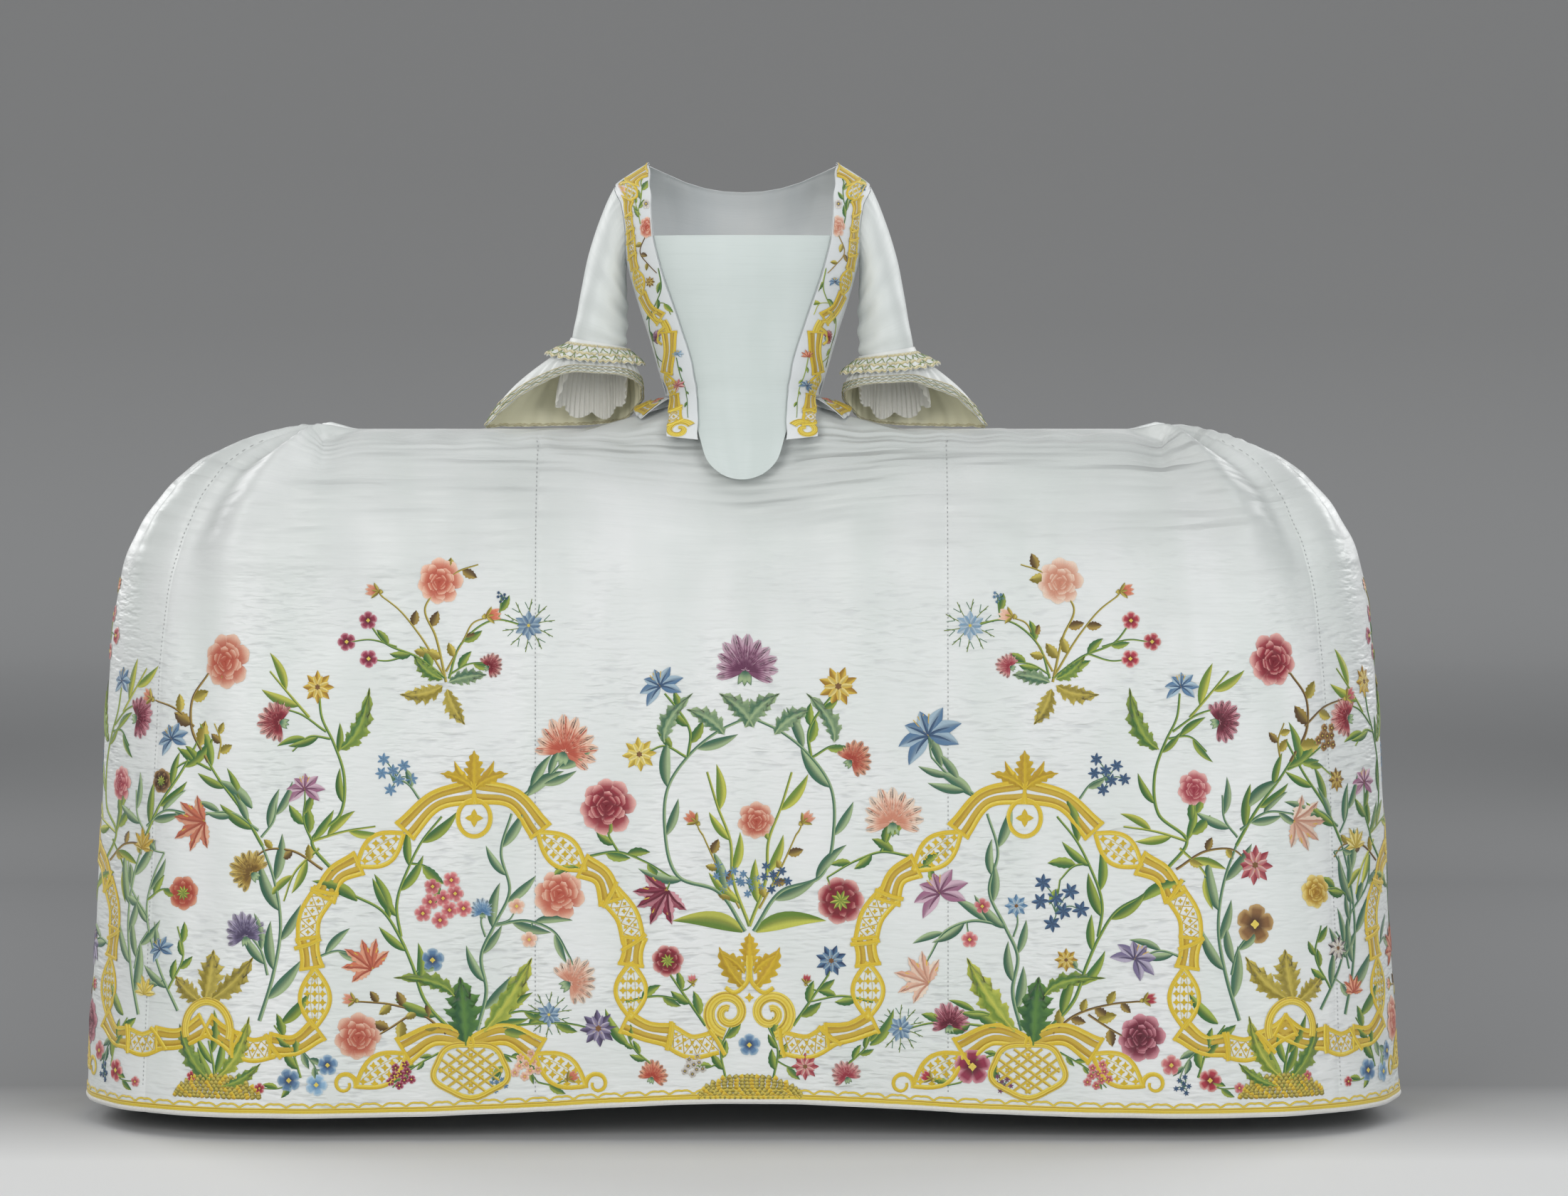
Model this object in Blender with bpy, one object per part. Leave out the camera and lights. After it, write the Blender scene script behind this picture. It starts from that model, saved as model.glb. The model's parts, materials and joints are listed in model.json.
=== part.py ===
"""A court mantua gown of embroidered silk as it is worn: hollow, with its petticoat spread wide over side hoops.

Metres, +Z up. The origin is the middle of the wearer's waist. The front faces -Y and the wearer's left is +X.
Every piece is a cloth wall. Its outer face comes from a surface function, and its inner face from the same
points moved in along the surface's normals, so that neighbours at a seam share one direction of thickness.
"""

import bmesh
import bpy
import numpy as np

# Cloth and seams
WALL = 0.0015
SEAM_GAP = 0.0003
LAYER = 0.0025
PANEL_GAP = 0.0005
FINE_WALL = 0.001
LINING_GAP = 0.0007
ARMHOLE_GAP = 0.0014
STOMACHER_INSET = 0.0002

# Petticoat
HEM_HALF_WIDTH = 0.961
HEM_Z = -1.0186
FLAT_HALF_WIDTH = 0.60
CORNER_POWER = 2.2
SILK_WIDTH = 0.578
CENTRE_SPREAD = 0.17
WAIST_CLOTH = 0.20
RIDGE_CLOTH = 0.56
RIDGE_HALF_WIDTH = 0.54
RIDGE_Z = -0.045
RIDGE_FALL_END = 0.172
WAIST_HALF_WIDTH = 0.104
WAIST_FRONT = 0.094
WAIST_BACK = 0.078
WAIST_Z = -0.012
WAISTBAND_WIDTH = 0.030
WAISTBAND_WALL = 0.002
WAISTBAND_STRIPS = 32
HEM_RISE = 0.022
HEM_RISE_SPREAD = 0.34

# One row for each ring of the petticoat below its slit: half width, height at the sides, depth of the front and
# of the back, how far the centre stands out from the flat front, and the height at the centre
RING_COLUMNS = ("half_width", "side_z", "front", "back", "centre_out", "centre_z")
RINGS = (
    (0.662, -0.050, 0.075, 0.090, 0.022, -0.034),
    (0.742, -0.068, 0.125, 0.150, -0.008, -0.078),
    (0.806, -0.100, 0.160, 0.190, -0.024, -0.125),
    (0.864, -0.165, 0.190, 0.225, -0.020, -0.185),
    (0.905, -0.260, 0.205, 0.250, -0.006, -0.262),
    (0.928, -0.450, 0.222, 0.275, 0.0, -0.450),
    (0.944, -0.730, 0.238, 0.305, 0.0, -0.730),
    (HEM_HALF_WIDTH, HEM_Z, 0.250, 0.330, 0.0, HEM_Z),
)
PETTICOAT_ROWS = (0, 0.5, 1, 1.7, 2.4, 3.1, 4, 5, 5.9, 6.9, 8)
PANEL_COLUMNS = 14

# Pleats fan down from each hip. Places are cloth lengths from the centre front (or centre back), at the top and
# where the pleat dies out. A height below 0 is a furrow.
# Columns: top, foot, height, half width, first ring, last ring
PLEATS = (
    (0.500, 0.440, -0.004, 0.022, 0.5, 2.6),
    (0.595, 0.600, -0.011, 0.030, 0.5, 4.0),
    (0.690, 0.765, 0.013, 0.040, 0.5, 5.2),
    (0.800, 0.850, -0.012, 0.036, 0.5, 5.6),
    (0.905, 0.950, 0.010, 0.040, 0.5, 5.4),
    (1.000, 1.020, -0.008, 0.034, 0.5, 5.0),
)
PLEAT_START_RING = 0.15
PLEAT_DEEPENS = 0.5
PLEAT_DIES = 1.6
GATHER_PERIOD = 2 * SILK_WIDTH / PANEL_COLUMNS
GATHER_HEIGHT = 0.0022
GATHER_STARTS = (0.1, 0.8)
GATHER_DIES = (1.4, 2.6)
GATHER_SIDE_END = (0.42, 0.56)
SLIT_EASE = 0.02
SIDE_EASE = 0.03
SIDE_FOLD_SHARE = 0.4
HANGS_DOWN_FROM = 0.16

# Torso: one row for each height
TORSO_POWER = 2.4
TORSO_COLUMNS = ("z", "half_width", "front", "back")
TORSO = (
    (-0.125, 0.240, 0.156, 0.105),
    (-0.060, 0.200, 0.138, 0.095),
    (-0.030, 0.150, 0.121, 0.089),
    (0.000, 0.111, 0.108, 0.085),
    (0.040, 0.1205, 0.109, 0.087),
    (0.080, 0.1315, 0.113, 0.091),
    (0.136, 0.1495, 0.123, 0.097),
    (0.192, 0.166, 0.133, 0.101),
    (0.240, 0.1765, 0.128, 0.102),
    (0.280, 0.183, 0.108, 0.094),
    (0.305, 0.183, 0.082, 0.080),
    (0.322, 0.160, 0.060, 0.062),
    (0.338, 0.134, 0.040, 0.044),
)
BODICE_FOOT_Z = 0.002
UNDERARM_Z = 0.192
SHOULDER_Z = 0.305
NECK_Z = 0.338
BACK_NECK_Z = 0.300
BACK_NECK_SHARE = 0.6
BACK_NECK_CURVE = 2.2
BACK_STRIPS = 8
ARMHOLE_DEPTH = 0.055

# Robings: where their inner edges lie, and how far round the torso their outer edges reach
ROBING_COLUMNS = ("inner_z", "inner_x", "outer_z", "outer_share")
ROBING = (
    (-0.060, 0.0625, -0.056, 0.550),
    (-0.030, 0.0625, -0.030, 0.690),
    (0.003, 0.0637, 0.003, 0.930),
    (0.022, 0.0655, 0.022, 0.945),
    (0.046, 0.0700, 0.046, 0.950),
    (0.070, 0.0760, 0.070, 0.950),
    (0.096, 0.0845, 0.096, 0.950),
    (0.122, 0.0930, 0.122, 0.950),
    (0.148, 0.1020, 0.148, 0.952),
    (0.174, 0.1110, 0.174, 0.955),
    (0.202, 0.1190, 0.202, 0.952),
    (0.229, 0.1255, 0.226, 0.935),
    (0.254, 0.1280, 0.246, 0.915),
    (0.277, 0.1300, 0.264, 0.912),
    (0.298, 0.1315, 0.280, 0.918),
    (0.316, 0.1328, 0.293, 0.935),
    (0.330, 0.1338, 0.301, 0.958),
    (0.338, 0.1340, 0.3085, 1.000),
)
ROBING_STRIPS = 5
SIDE_STRIPS = 3

# Stomacher. Columns: height, half width, and how far its sides rise above its middle, which rounds the point
STOMACHER = (
    (-0.1145, 0.030, 0.0080),
    (-0.1060, 0.043, 0.0100),
    (-0.0900, 0.0525, 0.0080),
    (-0.0620, 0.0595, 0.0030),
    (-0.0350, 0.0660, 0.0),
    (-0.0120, 0.0710, 0.0),
    (0.0060, 0.0740, 0.0),
    (0.0280, 0.0785, 0.0),
    (0.0600, 0.0855, 0.0),
    (0.1000, 0.0970, 0.0),
    (0.1400, 0.1095, 0.0),
    (0.1750, 0.1215, 0.0),
    (0.2050, 0.1295, 0.0),
    (0.2340, 0.1370, 0.0),
)
STOMACHER_STRIPS = 10

# Sleeves, one row for each ring below the armhole.
# Columns: x and z of its outer point, x and z of its inner point, its half depth, and y of its middle
SLEEVE = (
    (0.200, 0.280, 0.1690, 0.174, 0.0530, 0.000),
    (0.216, 0.236, 0.1675, 0.150, 0.0500, -0.001),
    (0.229, 0.192, 0.1680, 0.128, 0.0470, -0.002),
    (0.239, 0.146, 0.1690, 0.104, 0.0440, -0.004),
    (0.246, 0.106, 0.1700, 0.083, 0.0415, -0.005),
    (0.250, 0.080, 0.1710, 0.070, 0.0405, -0.006),
)
SLEEVE_ROWS = (0, 0.4, 1, 2, 3.2, 4.5, 6)
SLEEVE_STRIPS = 24
# The left elbow hangs lower, and what lies under this height above the waist stays where it is
LEFT_ELBOW_DROP = 0.014
DROP_EASE = 0.03

# Ruffle at the elbow: its waves, its length, where it starts on the sleeve, and how far it stands out
RUFFLE_WAVES = 16
RUFFLE_DEPTH = 0.026
RUFFLE_ROWS = (0, 0.4, 1)
RUFFLE_ON_SLEEVE = 0.3
RUFFLE_SLEEVE_RING = 5.6
RUFFLE_SLEEVE_GAP = 0.0015
RUFFLE_LIFT = 0.0034
RUFFLE_WAVE = 0.0085
RUFFLE_FLARE = 0.003
RUFFLE_RISE = 0.0015

# The edge of each flounce below it. Columns: the angle round the arm, then the edge's x, y and z
FLOUNCE_EDGE = (
    (0.0, 0.2100, -0.0620, 0.0360),
    (45.0, 0.2660, -0.0430, 0.0320),
    (72.0, 0.3050, -0.0100, 0.0060),
    (94.0, 0.3560, 0.0330, -0.0390),
    (118.0, 0.3350, 0.0720, -0.0420),
    (148.0, 0.2760, 0.0960, -0.0420),
    (180.0, 0.2180, 0.0980, -0.0400),
    (215.0, 0.1740, 0.0750, -0.0320),
    (250.0, 0.1500, 0.0340, -0.0060),
    (285.0, 0.1470, -0.0120, 0.0160),
    (320.0, 0.1660, -0.0500, 0.0310),
)
INNER_FLOUNCE_EDGE = (
    (75.0, 0.2600, 0.0060, 0.0260),
    (100.0, 0.2740, 0.0260, -0.0060),
    (130.0, 0.2600, 0.0520, -0.0200),
    (165.0, 0.2260, 0.0640, -0.0270),
    (200.0, 0.1940, 0.0560, -0.0240),
    (235.0, 0.1740, 0.0320, -0.0040),
    (260.0, 0.1680, 0.0100, 0.0180),
)
INNER_SCALLOP = 0.011
INNER_SCALLOPS = 4
INNER_SCALLOP_TUCK = 0.004
INNER_FLOUNCE_INSET = 0.0065
INNER_FLOUNCE_RISE = 0.004
INNER_FLOUNCE_SAG = 0.006
INNER_FLOUNCE_STRIPS = 24
FLOUNCE_ROWS = (0, 0.3, 0.65, 1)
FLOUNCE_TOP_INSET = 0.0004
FLOUNCE_SAG = 0.10
FLOUNCE_PLEATS = 10
FLOUNCE_PLEAT_SLOPE = 0.018
FLOUNCE_PLEATS_FROM = (40, 90)
FLOUNCE_PLEATS_TO = (270, 320)
# The right flounce reaches further out, most at this angle
RIGHT_FLOUNCE_REACH = 0.022
RIGHT_REACH_ANGLE = 100
RIGHT_REACH_SPREAD = 40

# Overskirt drawn back at each side of the waist, from one angle round it to another, and the train
OVERSKIRT_FIRST = 66.0
OVERSKIRT_LAST = 128.0
OVERSKIRT_STRIPS = 16
OVERSKIRT_ROWS = (0, 0.33, 0.66, 1)
OVERSKIRT_WIDTH = 0.046
OVERSKIRT_NARROWS = 0.25
OVERSKIRT_DROP = 0.0014
OVERSKIRT_FALL = 0.017
OVERSKIRT_CURVE = 1.3
OVERSKIRT_CORNER_FALL = 0.012
OVERSKIRT_CORNER = 24
TRAIN_ROWS = (0, 0.5, 1, 1.7, 2.4, 3.1, 4, 5, 5.9, 6.9, 7.75)
TRAIN_STRIPS = 20
TRAIN_LIFT = 0.012
TRAIN_FOLD = 0.007
TRAIN_FOLDS = 7
TRAIN_FOLD_RINGS = (0.3, 2.5)
TRAIN_TOP_HALF = 0.115
TRAIN_FOOT_HALF = 0.52
TRAIN_SPREAD_RINGS = 10.75
TRAIN_WAIST_TURN = 0.9
TRAIN_LEAVES_WAIST = 0.8

# Colour, roughness and metallic value of each finish
FINISHES = {
    "silk": ((0.69, 0.73, 0.72, 1.0), 0.42, 0.0),
    "stomacher_silk": ((0.61, 0.68, 0.66, 1.0), 0.62, 0.0),
    "embroidered_silk": ((0.74, 0.70, 0.42, 1.0), 0.45, 0.0),
    "lining_silk": ((0.66, 0.62, 0.44, 1.0), 0.55, 0.0),
    "ruffle_silk": ((0.70, 0.70, 0.62, 1.0), 0.60, 0.0),
    "linen": ((0.80, 0.79, 0.74, 1.0), 0.75, 0.0),
}


def clear_scene():
    for thing in list(bpy.data.objects):
        bpy.data.objects.remove(thing, do_unlink=True)


def finish(name):
    """The Principled material of that finish, made once."""
    if name in bpy.data.materials:
        return bpy.data.materials[name]
    colour, roughness, metallic = FINISHES[name]
    made = bpy.data.materials.new(name)
    made.use_nodes = True
    shader = made.node_tree.nodes["Principled BSDF"]
    shader.inputs["Base Color"].default_value = colour
    shader.inputs["Roughness"].default_value = roughness
    shader.inputs["Metallic"].default_value = metallic
    made.diffuse_color = colour
    return made


def table(rows):
    """The table's columns as arrays."""
    return np.array(rows, dtype=float).T


def smooth(x, knots, values):
    """A smooth curve through a table's points: cubic pieces on the table's own slopes."""
    x = np.clip(x, knots[0], knots[-1])
    i = np.clip(np.searchsorted(knots, x, side="right") - 1, 0, len(knots) - 2)
    slope = np.gradient(values, knots)
    step = knots[i + 1] - knots[i]
    f = (x - knots[i]) / step
    rise = values[i] * (1 + 2 * f) * (1 - f) ** 2 + values[i + 1] * f**2 * (3 - 2 * f)
    return rise + step * (slope[i] * f * (1 - f) ** 2 + slope[i + 1] * f**2 * (f - 1))


def fade(x, start, end):
    """0 before start, 1 after end, and a smooth ramp between."""
    f = np.clip((x - start) / (end - start), 0, 1)
    return f * f * (3 - 2 * f)


def power(value, exponent):
    return np.sign(value) * np.abs(value) ** exponent


def point(x, y, z):
    x, y, z = np.broadcast_arrays(x, y, z)
    return np.stack([x, y, z], axis=-1).astype(float)


def unit(vectors):
    return vectors / np.maximum(np.linalg.norm(vectors, axis=-1, keepdims=True), 1e-12)


def normals(surface, u, v, u_range, v_range, step=2e-3):
    """The surface's unit normals, from points a short way to each side that stay inside its ranges."""
    u_step = step * (u_range[1] - u_range[0])
    v_step = step * (v_range[1] - v_range[0])
    across = surface(np.minimum(u + u_step, u_range[1]), v) - surface(np.maximum(u - u_step, u_range[0]), v)
    along = surface(u, np.minimum(v + v_step, v_range[1])) - surface(u, np.maximum(v - v_step, v_range[0]))
    return unit(np.cross(across, along))


def away_from_middle(turn):
    """The level direction at that angle round the body or an arm: 0 is the front, and a quarter turn is +X."""
    return point(np.sin(turn), -np.cos(turn), np.zeros_like(turn))


def grid(us, vs):
    """Rows of v by columns of u."""
    return np.meshgrid(np.asarray(us, dtype=float), np.asarray(vs, dtype=float))


def part_from_seams(points):
    """Moves a panel's first and last columns in along their rows, half the gap each."""
    points = points.copy()
    points[:, 0] += unit(points[:, 1] - points[:, 0]) * PANEL_GAP / 2
    points[:, -1] += unit(points[:, -2] - points[:, -1]) * PANEL_GAP / 2
    return points


def cloth(name, outer, inward, finish_name, closed=False, thickness=WALL):
    """One cloth wall from its outer points, in rows and columns, and the unit directions to its inner face."""
    inner = outer + inward * thickness
    rows, columns = outer.shape[:2]
    count = rows * columns
    points = np.concatenate([outer.reshape(-1, 3), inner.reshape(-1, 3)])

    def at(row, column, face):
        return face * count + row * columns + column % columns

    last = columns if closed else columns - 1
    faces = []
    for row in range(rows - 1):
        for column in range(last):
            corners = ((row, column), (row, column + 1), (row + 1, column + 1), (row + 1, column))
            faces.append([at(r, c, 0) for r, c in corners])
            faces.append([at(*corners[k], 1) for k in (0, 3, 2, 1)])
    for column in range(last):
        faces.append([at(0, column + 1, 0), at(0, column, 0), at(0, column, 1), at(0, column + 1, 1)])
        end = rows - 1
        faces.append([at(end, column, 0), at(end, column + 1, 0), at(end, column + 1, 1), at(end, column, 1)])
    if not closed:
        for row in range(rows - 1):
            faces.append([at(row, 0, 0), at(row + 1, 0, 0), at(row + 1, 0, 1), at(row, 0, 1)])
            end = columns - 1
            faces.append([at(row + 1, end, 0), at(row, end, 0), at(row, end, 1), at(row + 1, end, 1)])

    mesh = bpy.data.meshes.new(name)
    mesh.from_pydata(points.tolist(), [], faces)
    # Both faces of the wall, and layers made from the same points, are cut along the same diagonals
    work = bmesh.new()
    work.from_mesh(mesh)
    bmesh.ops.triangulate(work, faces=work.faces, quad_method="FIXED")
    work.to_mesh(mesh)
    work.free()
    # The sign of the wall's volume says which way its faces point
    corner = points[np.array(faces)]
    volume = np.einsum("ij,ij->", corner[:, 0], np.cross(corner[:, 1], corner[:, 2]))
    volume += np.einsum("ij,ij->", corner[:, 0], np.cross(corner[:, 2], corner[:, 3]))
    if volume < 0:
        mesh.flip_normals()
    mesh.materials.append(finish(finish_name))
    mesh.shade_smooth()
    mesh.set_sharp_from_angle(angle=np.radians(50))
    made = bpy.data.objects.new(name, mesh)
    bpy.context.collection.objects.link(made)
    return made


# Petticoat

RING = dict(zip(RING_COLUMNS, table(RINGS)))


def corner_lengths(depth):
    """The angle round the hem's corner, and the length of cloth to each angle."""
    angle = np.linspace(0, np.pi / 2, 600)
    x = (HEM_HALF_WIDTH - FLAT_HALF_WIDTH) * power(np.sin(angle), 2 / CORNER_POWER)
    y = depth * power(np.cos(angle), 2 / CORNER_POWER)
    steps = np.hypot(np.diff(x), np.diff(y))
    return angle, np.concatenate([[0], np.cumsum(steps)])


FRONT_ANGLE, FRONT_LENGTH = corner_lengths(RING["front"][-1])
BACK_ANGLE, BACK_LENGTH = corner_lengths(RING["back"][-1])
FRONT_HALF = FLAT_HALF_WIDTH + FRONT_LENGTH[-1]
BACK_HALF = FLAT_HALF_WIDTH + BACK_LENGTH[-1]
HALF_ROUND = FRONT_HALF + BACK_HALF


def round_petticoat(s):
    """Side of the body, front or back, and cloth length from the centre line, at length s from the centre front."""
    s = (s + HALF_ROUND) % (2 * HALF_ROUND) - HALF_ROUND
    side = np.where(s < 0, -1.0, 1.0)
    back = np.abs(s) > FRONT_HALF
    along = np.where(back, HALF_ROUND - np.abs(s), np.abs(s))
    return side, back, along


def slit_ring(side, back, along):
    """The top edge: the waist's oval, the ridge out to the hip, and the lips where the pleats meet."""
    facing = np.where(back, 1.0, -1.0)
    half = np.where(back, BACK_HALF, FRONT_HALF)
    turn = np.clip(along / WAIST_CLOTH, 0, 1) * np.pi / 2
    depth = np.where(back, WAIST_BACK, WAIST_FRONT)
    ridge = WAIST_HALF_WIDTH + (RIDGE_HALF_WIDTH - WAIST_HALF_WIDTH) * np.clip(
        (along - WAIST_CLOTH) / (RIDGE_CLOTH - WAIST_CLOTH), 0, 1
    )
    lips = (FLAT_HALF_WIDTH - RIDGE_HALF_WIDTH) * np.clip((along - RIDGE_CLOTH) / (half - RIDGE_CLOTH), 0, 1)
    x = np.where(along < WAIST_CLOTH, WAIST_HALF_WIDTH * np.sin(turn), ridge + lips)
    slit = SEAM_GAP / 2 * np.clip((half - along) / SLIT_EASE, 0, 1)
    y = facing * np.where(along < WAIST_CLOTH, np.maximum(depth * np.cos(turn), SEAM_GAP / 2), slit)
    z = WAIST_Z + (RIDGE_Z - WAIST_Z) * fade(x, WAIST_HALF_WIDTH, RIDGE_FALL_END)
    return point(side * x, y, z)


def lower_ring(k, side, back, along):
    angle = np.where(
        back,
        np.interp(along - FLAT_HALF_WIDTH, BACK_LENGTH, BACK_ANGLE),
        np.interp(along - FLAT_HALF_WIDTH, FRONT_LENGTH, FRONT_ANGLE),
    )
    depth = np.where(back, RING["back"][k], RING["front"][k])
    facing = np.where(back, 1.0, -1.0)
    reach = RING["half_width"][k] - FLAT_HALF_WIDTH
    x = np.minimum(along, FLAT_HALF_WIDTH) + reach * power(np.sin(angle), 2 / CORNER_POWER)
    near_centre = np.exp(-((x / CENTRE_SPREAD) ** 2))
    y = facing * (depth * power(np.cos(angle), 2 / CORNER_POWER) + RING["centre_out"][k] * near_centre)
    z = RING["side_z"][k] + (RING["centre_z"][k] - RING["side_z"][k]) * near_centre
    if k == len(RINGS) - 1:
        z = z + np.where(back, 0, HEM_RISE) * np.exp(-((x / HEM_RISE_SPREAD) ** 2))
    return point(side * x, y, z)


def petticoat_base(s, t):
    """The petticoat with no folds: s runs round it along the hem, and t down it, a whole number at each ring."""
    s, t = np.broadcast_arrays(np.asarray(s, dtype=float), np.asarray(t, dtype=float))
    shape = s.shape
    where = round_petticoat(s.ravel())
    rings = np.stack([slit_ring(*where)] + [lower_ring(k, *where) for k in range(len(RINGS))])
    last = len(rings) - 1
    t = t.ravel()
    i = np.clip(np.floor(t).astype(int), 0, last - 1)
    f = (t - i)[:, None]
    column = np.arange(len(t))

    def ring(j):
        return rings[np.clip(j, 0, last), column]

    before, here, there, after = ring(i - 1), ring(i), ring(i + 1), ring(i + 2)
    leave, arrive = (there - before) / 2, (after - here) / 2
    found = here * (1 + 2 * f) * (1 - f) ** 2 + there * f**2 * (3 - 2 * f)
    found = found + leave * f * (1 - f) ** 2 + arrive * f**2 * (f - 1)
    return found.reshape(shape + (3,))


def petticoat_folds(s, t):
    """How far the folds stand out: the hip pleats and the small gathers below the waist."""
    _, back, along = round_petticoat(s)
    half = np.where(back, BACK_HALF, FRONT_HALF)
    height = np.zeros(np.broadcast(s, t).shape)
    for top, foot, rise, half_width, first, last in PLEATS:
        place = top + (foot - top) * fade(t, first, last)
        strength = fade(t, PLEAT_START_RING, first + PLEAT_DEEPENS) * (1 - fade(t, last - PLEAT_DIES, last))
        height = height + rise * strength * np.exp(-(((along - place) / half_width) ** 2))
    strength = fade(t, *GATHER_STARTS) * (1 - fade(t, *GATHER_DIES)) * (1 - fade(along, *GATHER_SIDE_END))
    height = height + GATHER_HEIGHT * strength * np.cos(2 * np.pi * (s - SILK_WIDTH / 2) / GATHER_PERIOD)
    return height * np.clip((half - along) / SIDE_EASE + SIDE_FOLD_SHARE, 0, 1)


def petticoat(s, t):
    base = petticoat_base(s, t)
    inward = normals(petticoat_base, s, t, (s.min() - 1, s.max() + 1), (0, len(RINGS)), step=4e-4)
    return base - inward * petticoat_folds(s, t)[..., None]


def petticoat_panel(name, s_first, s_last, columns):
    s, t = grid(np.linspace(s_first, s_last, columns + 1), PETTICOAT_ROWS)
    inward = normals(petticoat, s, t, (s_first - 1, s_last + 1), (0, len(RINGS)), step=4e-4)
    # Along the slit the wall hangs straight down, so that front and back stay apart
    _, _, along = round_petticoat(s[0])
    down = np.array([0.0, 0.0, -1.0])
    inward[0] = np.where((along > HANGS_DOWN_FROM)[:, None], down, inward[0])
    return cloth(name, part_from_seams(petticoat(s, t)), inward, "embroidered_silk")


def make_petticoat():
    seams = [SILK_WIDTH * (k + 0.5) for k in range(4)]
    petticoat_panel("petticoat_center_front", -seams[0], seams[0], PANEL_COLUMNS)
    for k, place in enumerate(("front", "side", "back")):
        petticoat_panel(f"petticoat_{place}_left", seams[k], seams[k + 1], PANEL_COLUMNS)
        petticoat_panel(f"petticoat_{place}_right", -seams[k + 1], -seams[k], PANEL_COLUMNS)
    petticoat_panel("petticoat_center_back", seams[3], 2 * HALF_ROUND - seams[3], PANEL_COLUMNS - 4)


def make_waistband():
    """A straight band that stands on the petticoat's waist edge."""
    heights = (WAIST_Z + SEAM_GAP, WAIST_Z + WAISTBAND_WIDTH)
    turn, z = grid(np.linspace(0, 2 * np.pi, WAISTBAND_STRIPS + 1)[:-1], heights)
    depth = np.where(np.cos(turn) > 0, WAIST_FRONT, WAIST_BACK)
    points = point(WAIST_HALF_WIDTH * np.sin(turn), -depth * np.cos(turn), z)
    cloth("petticoat_waistband", points, -away_from_middle(turn), "silk", closed=True, thickness=WAISTBAND_WALL)


# Bodice

TORSO_TABLE = dict(zip(TORSO_COLUMNS, table(TORSO)))


def torso_size(column, z):
    return smooth(z, TORSO_TABLE["z"], TORSO_TABLE[column])


def torso(angle, z, facing=-1.0):
    """The torso under the clothes: angle 0 is the centre front or back, and a quarter turn is the side."""
    x = torso_size("half_width", z) * power(np.sin(angle), 2 / TORSO_POWER)
    depth = torso_size("front" if facing < 0 else "back", z)
    return point(x, facing * depth * power(np.cos(angle), 2 / TORSO_POWER), z)


def angle_of_share(share):
    """The torso angle where x is that share of the half width."""
    return np.arcsin(np.clip(share, 0, 1) ** (TORSO_POWER / 2))


def torso_layer(angle, z, layers, facing=-1.0):
    """Points of the torso moved out by whole layers of cloth, and the directions inwards."""
    outward = -facing * normals(
        lambda a, h: torso(a, h, facing), angle, z, (-np.pi / 2, np.pi / 2), (TORSO[0][0], NECK_Z), step=3e-4
    )
    return torso(angle, z, facing) + outward * layers * LAYER, -outward


def armhole_angle(z, facing):
    """The torso angle of the armhole's front or back edge at that height."""
    middle = (UNDERARM_Z + SHOULDER_Z) / 2
    rise = np.clip((z - middle) / (SHOULDER_Z - middle), -1, 1)
    depth = ARMHOLE_DEPTH * np.sqrt(1 - rise**2)
    whole = torso_size("front" if facing < 0 else "back", z)
    share = (1 - np.clip(depth / whole, 0, 1) ** TORSO_POWER) ** (1 / TORSO_POWER)
    return np.where(np.abs(rise) < 1, angle_of_share(share), np.pi / 2)


BODICE_LOW = np.linspace(BODICE_FOOT_Z, UNDERARM_Z, 5)
BODICE_HIGH = (1 - np.cos(np.linspace(0, np.pi, 7)[1:])) / 2
ROBING_TABLE = dict(zip(ROBING_COLUMNS, table(ROBING)))


def front_grid():
    """Angles and heights of the front's points: the robing's strips, then those from its edge to the side seam."""
    inner_z, inner_x, outer_z, outer_share = table(ROBING)
    first = angle_of_share(inner_x / torso_size("half_width", inner_z))[:, None]
    edge = angle_of_share(outer_share)[:, None]
    side_z = np.where(outer_z > UNDERARM_Z, np.minimum(outer_z, SHOULDER_Z), outer_z)[:, None]
    side_z[-1] = SHOULDER_Z
    last = np.where(side_z > UNDERARM_Z, armhole_angle(side_z, -1.0), np.pi / 2)
    under = np.linspace(0, 1, ROBING_STRIPS + 1)
    beyond = np.linspace(0, 1, SIDE_STRIPS + 1)[1:]
    angle = np.concatenate([first + (edge - first) * under, edge + (last - edge) * beyond], axis=1)
    inner_z, outer_z = inner_z[:, None], outer_z[:, None]
    z = np.concatenate([inner_z + (outer_z - inner_z) * under, outer_z + (side_z - outer_z) * beyond], axis=1)
    return angle, z


def bodice_front(side):
    """From the robing's inner edge round to the side seam and the armhole, and up to the shoulder seam."""
    angle, z = front_grid()
    above_waist = z[:, 0] > BODICE_FOOT_Z
    points, inward = torso_layer(angle[above_waist], z[above_waist], 1)
    mirror = np.array([side, 1.0, 1.0])
    return points * mirror, inward * mirror


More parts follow.
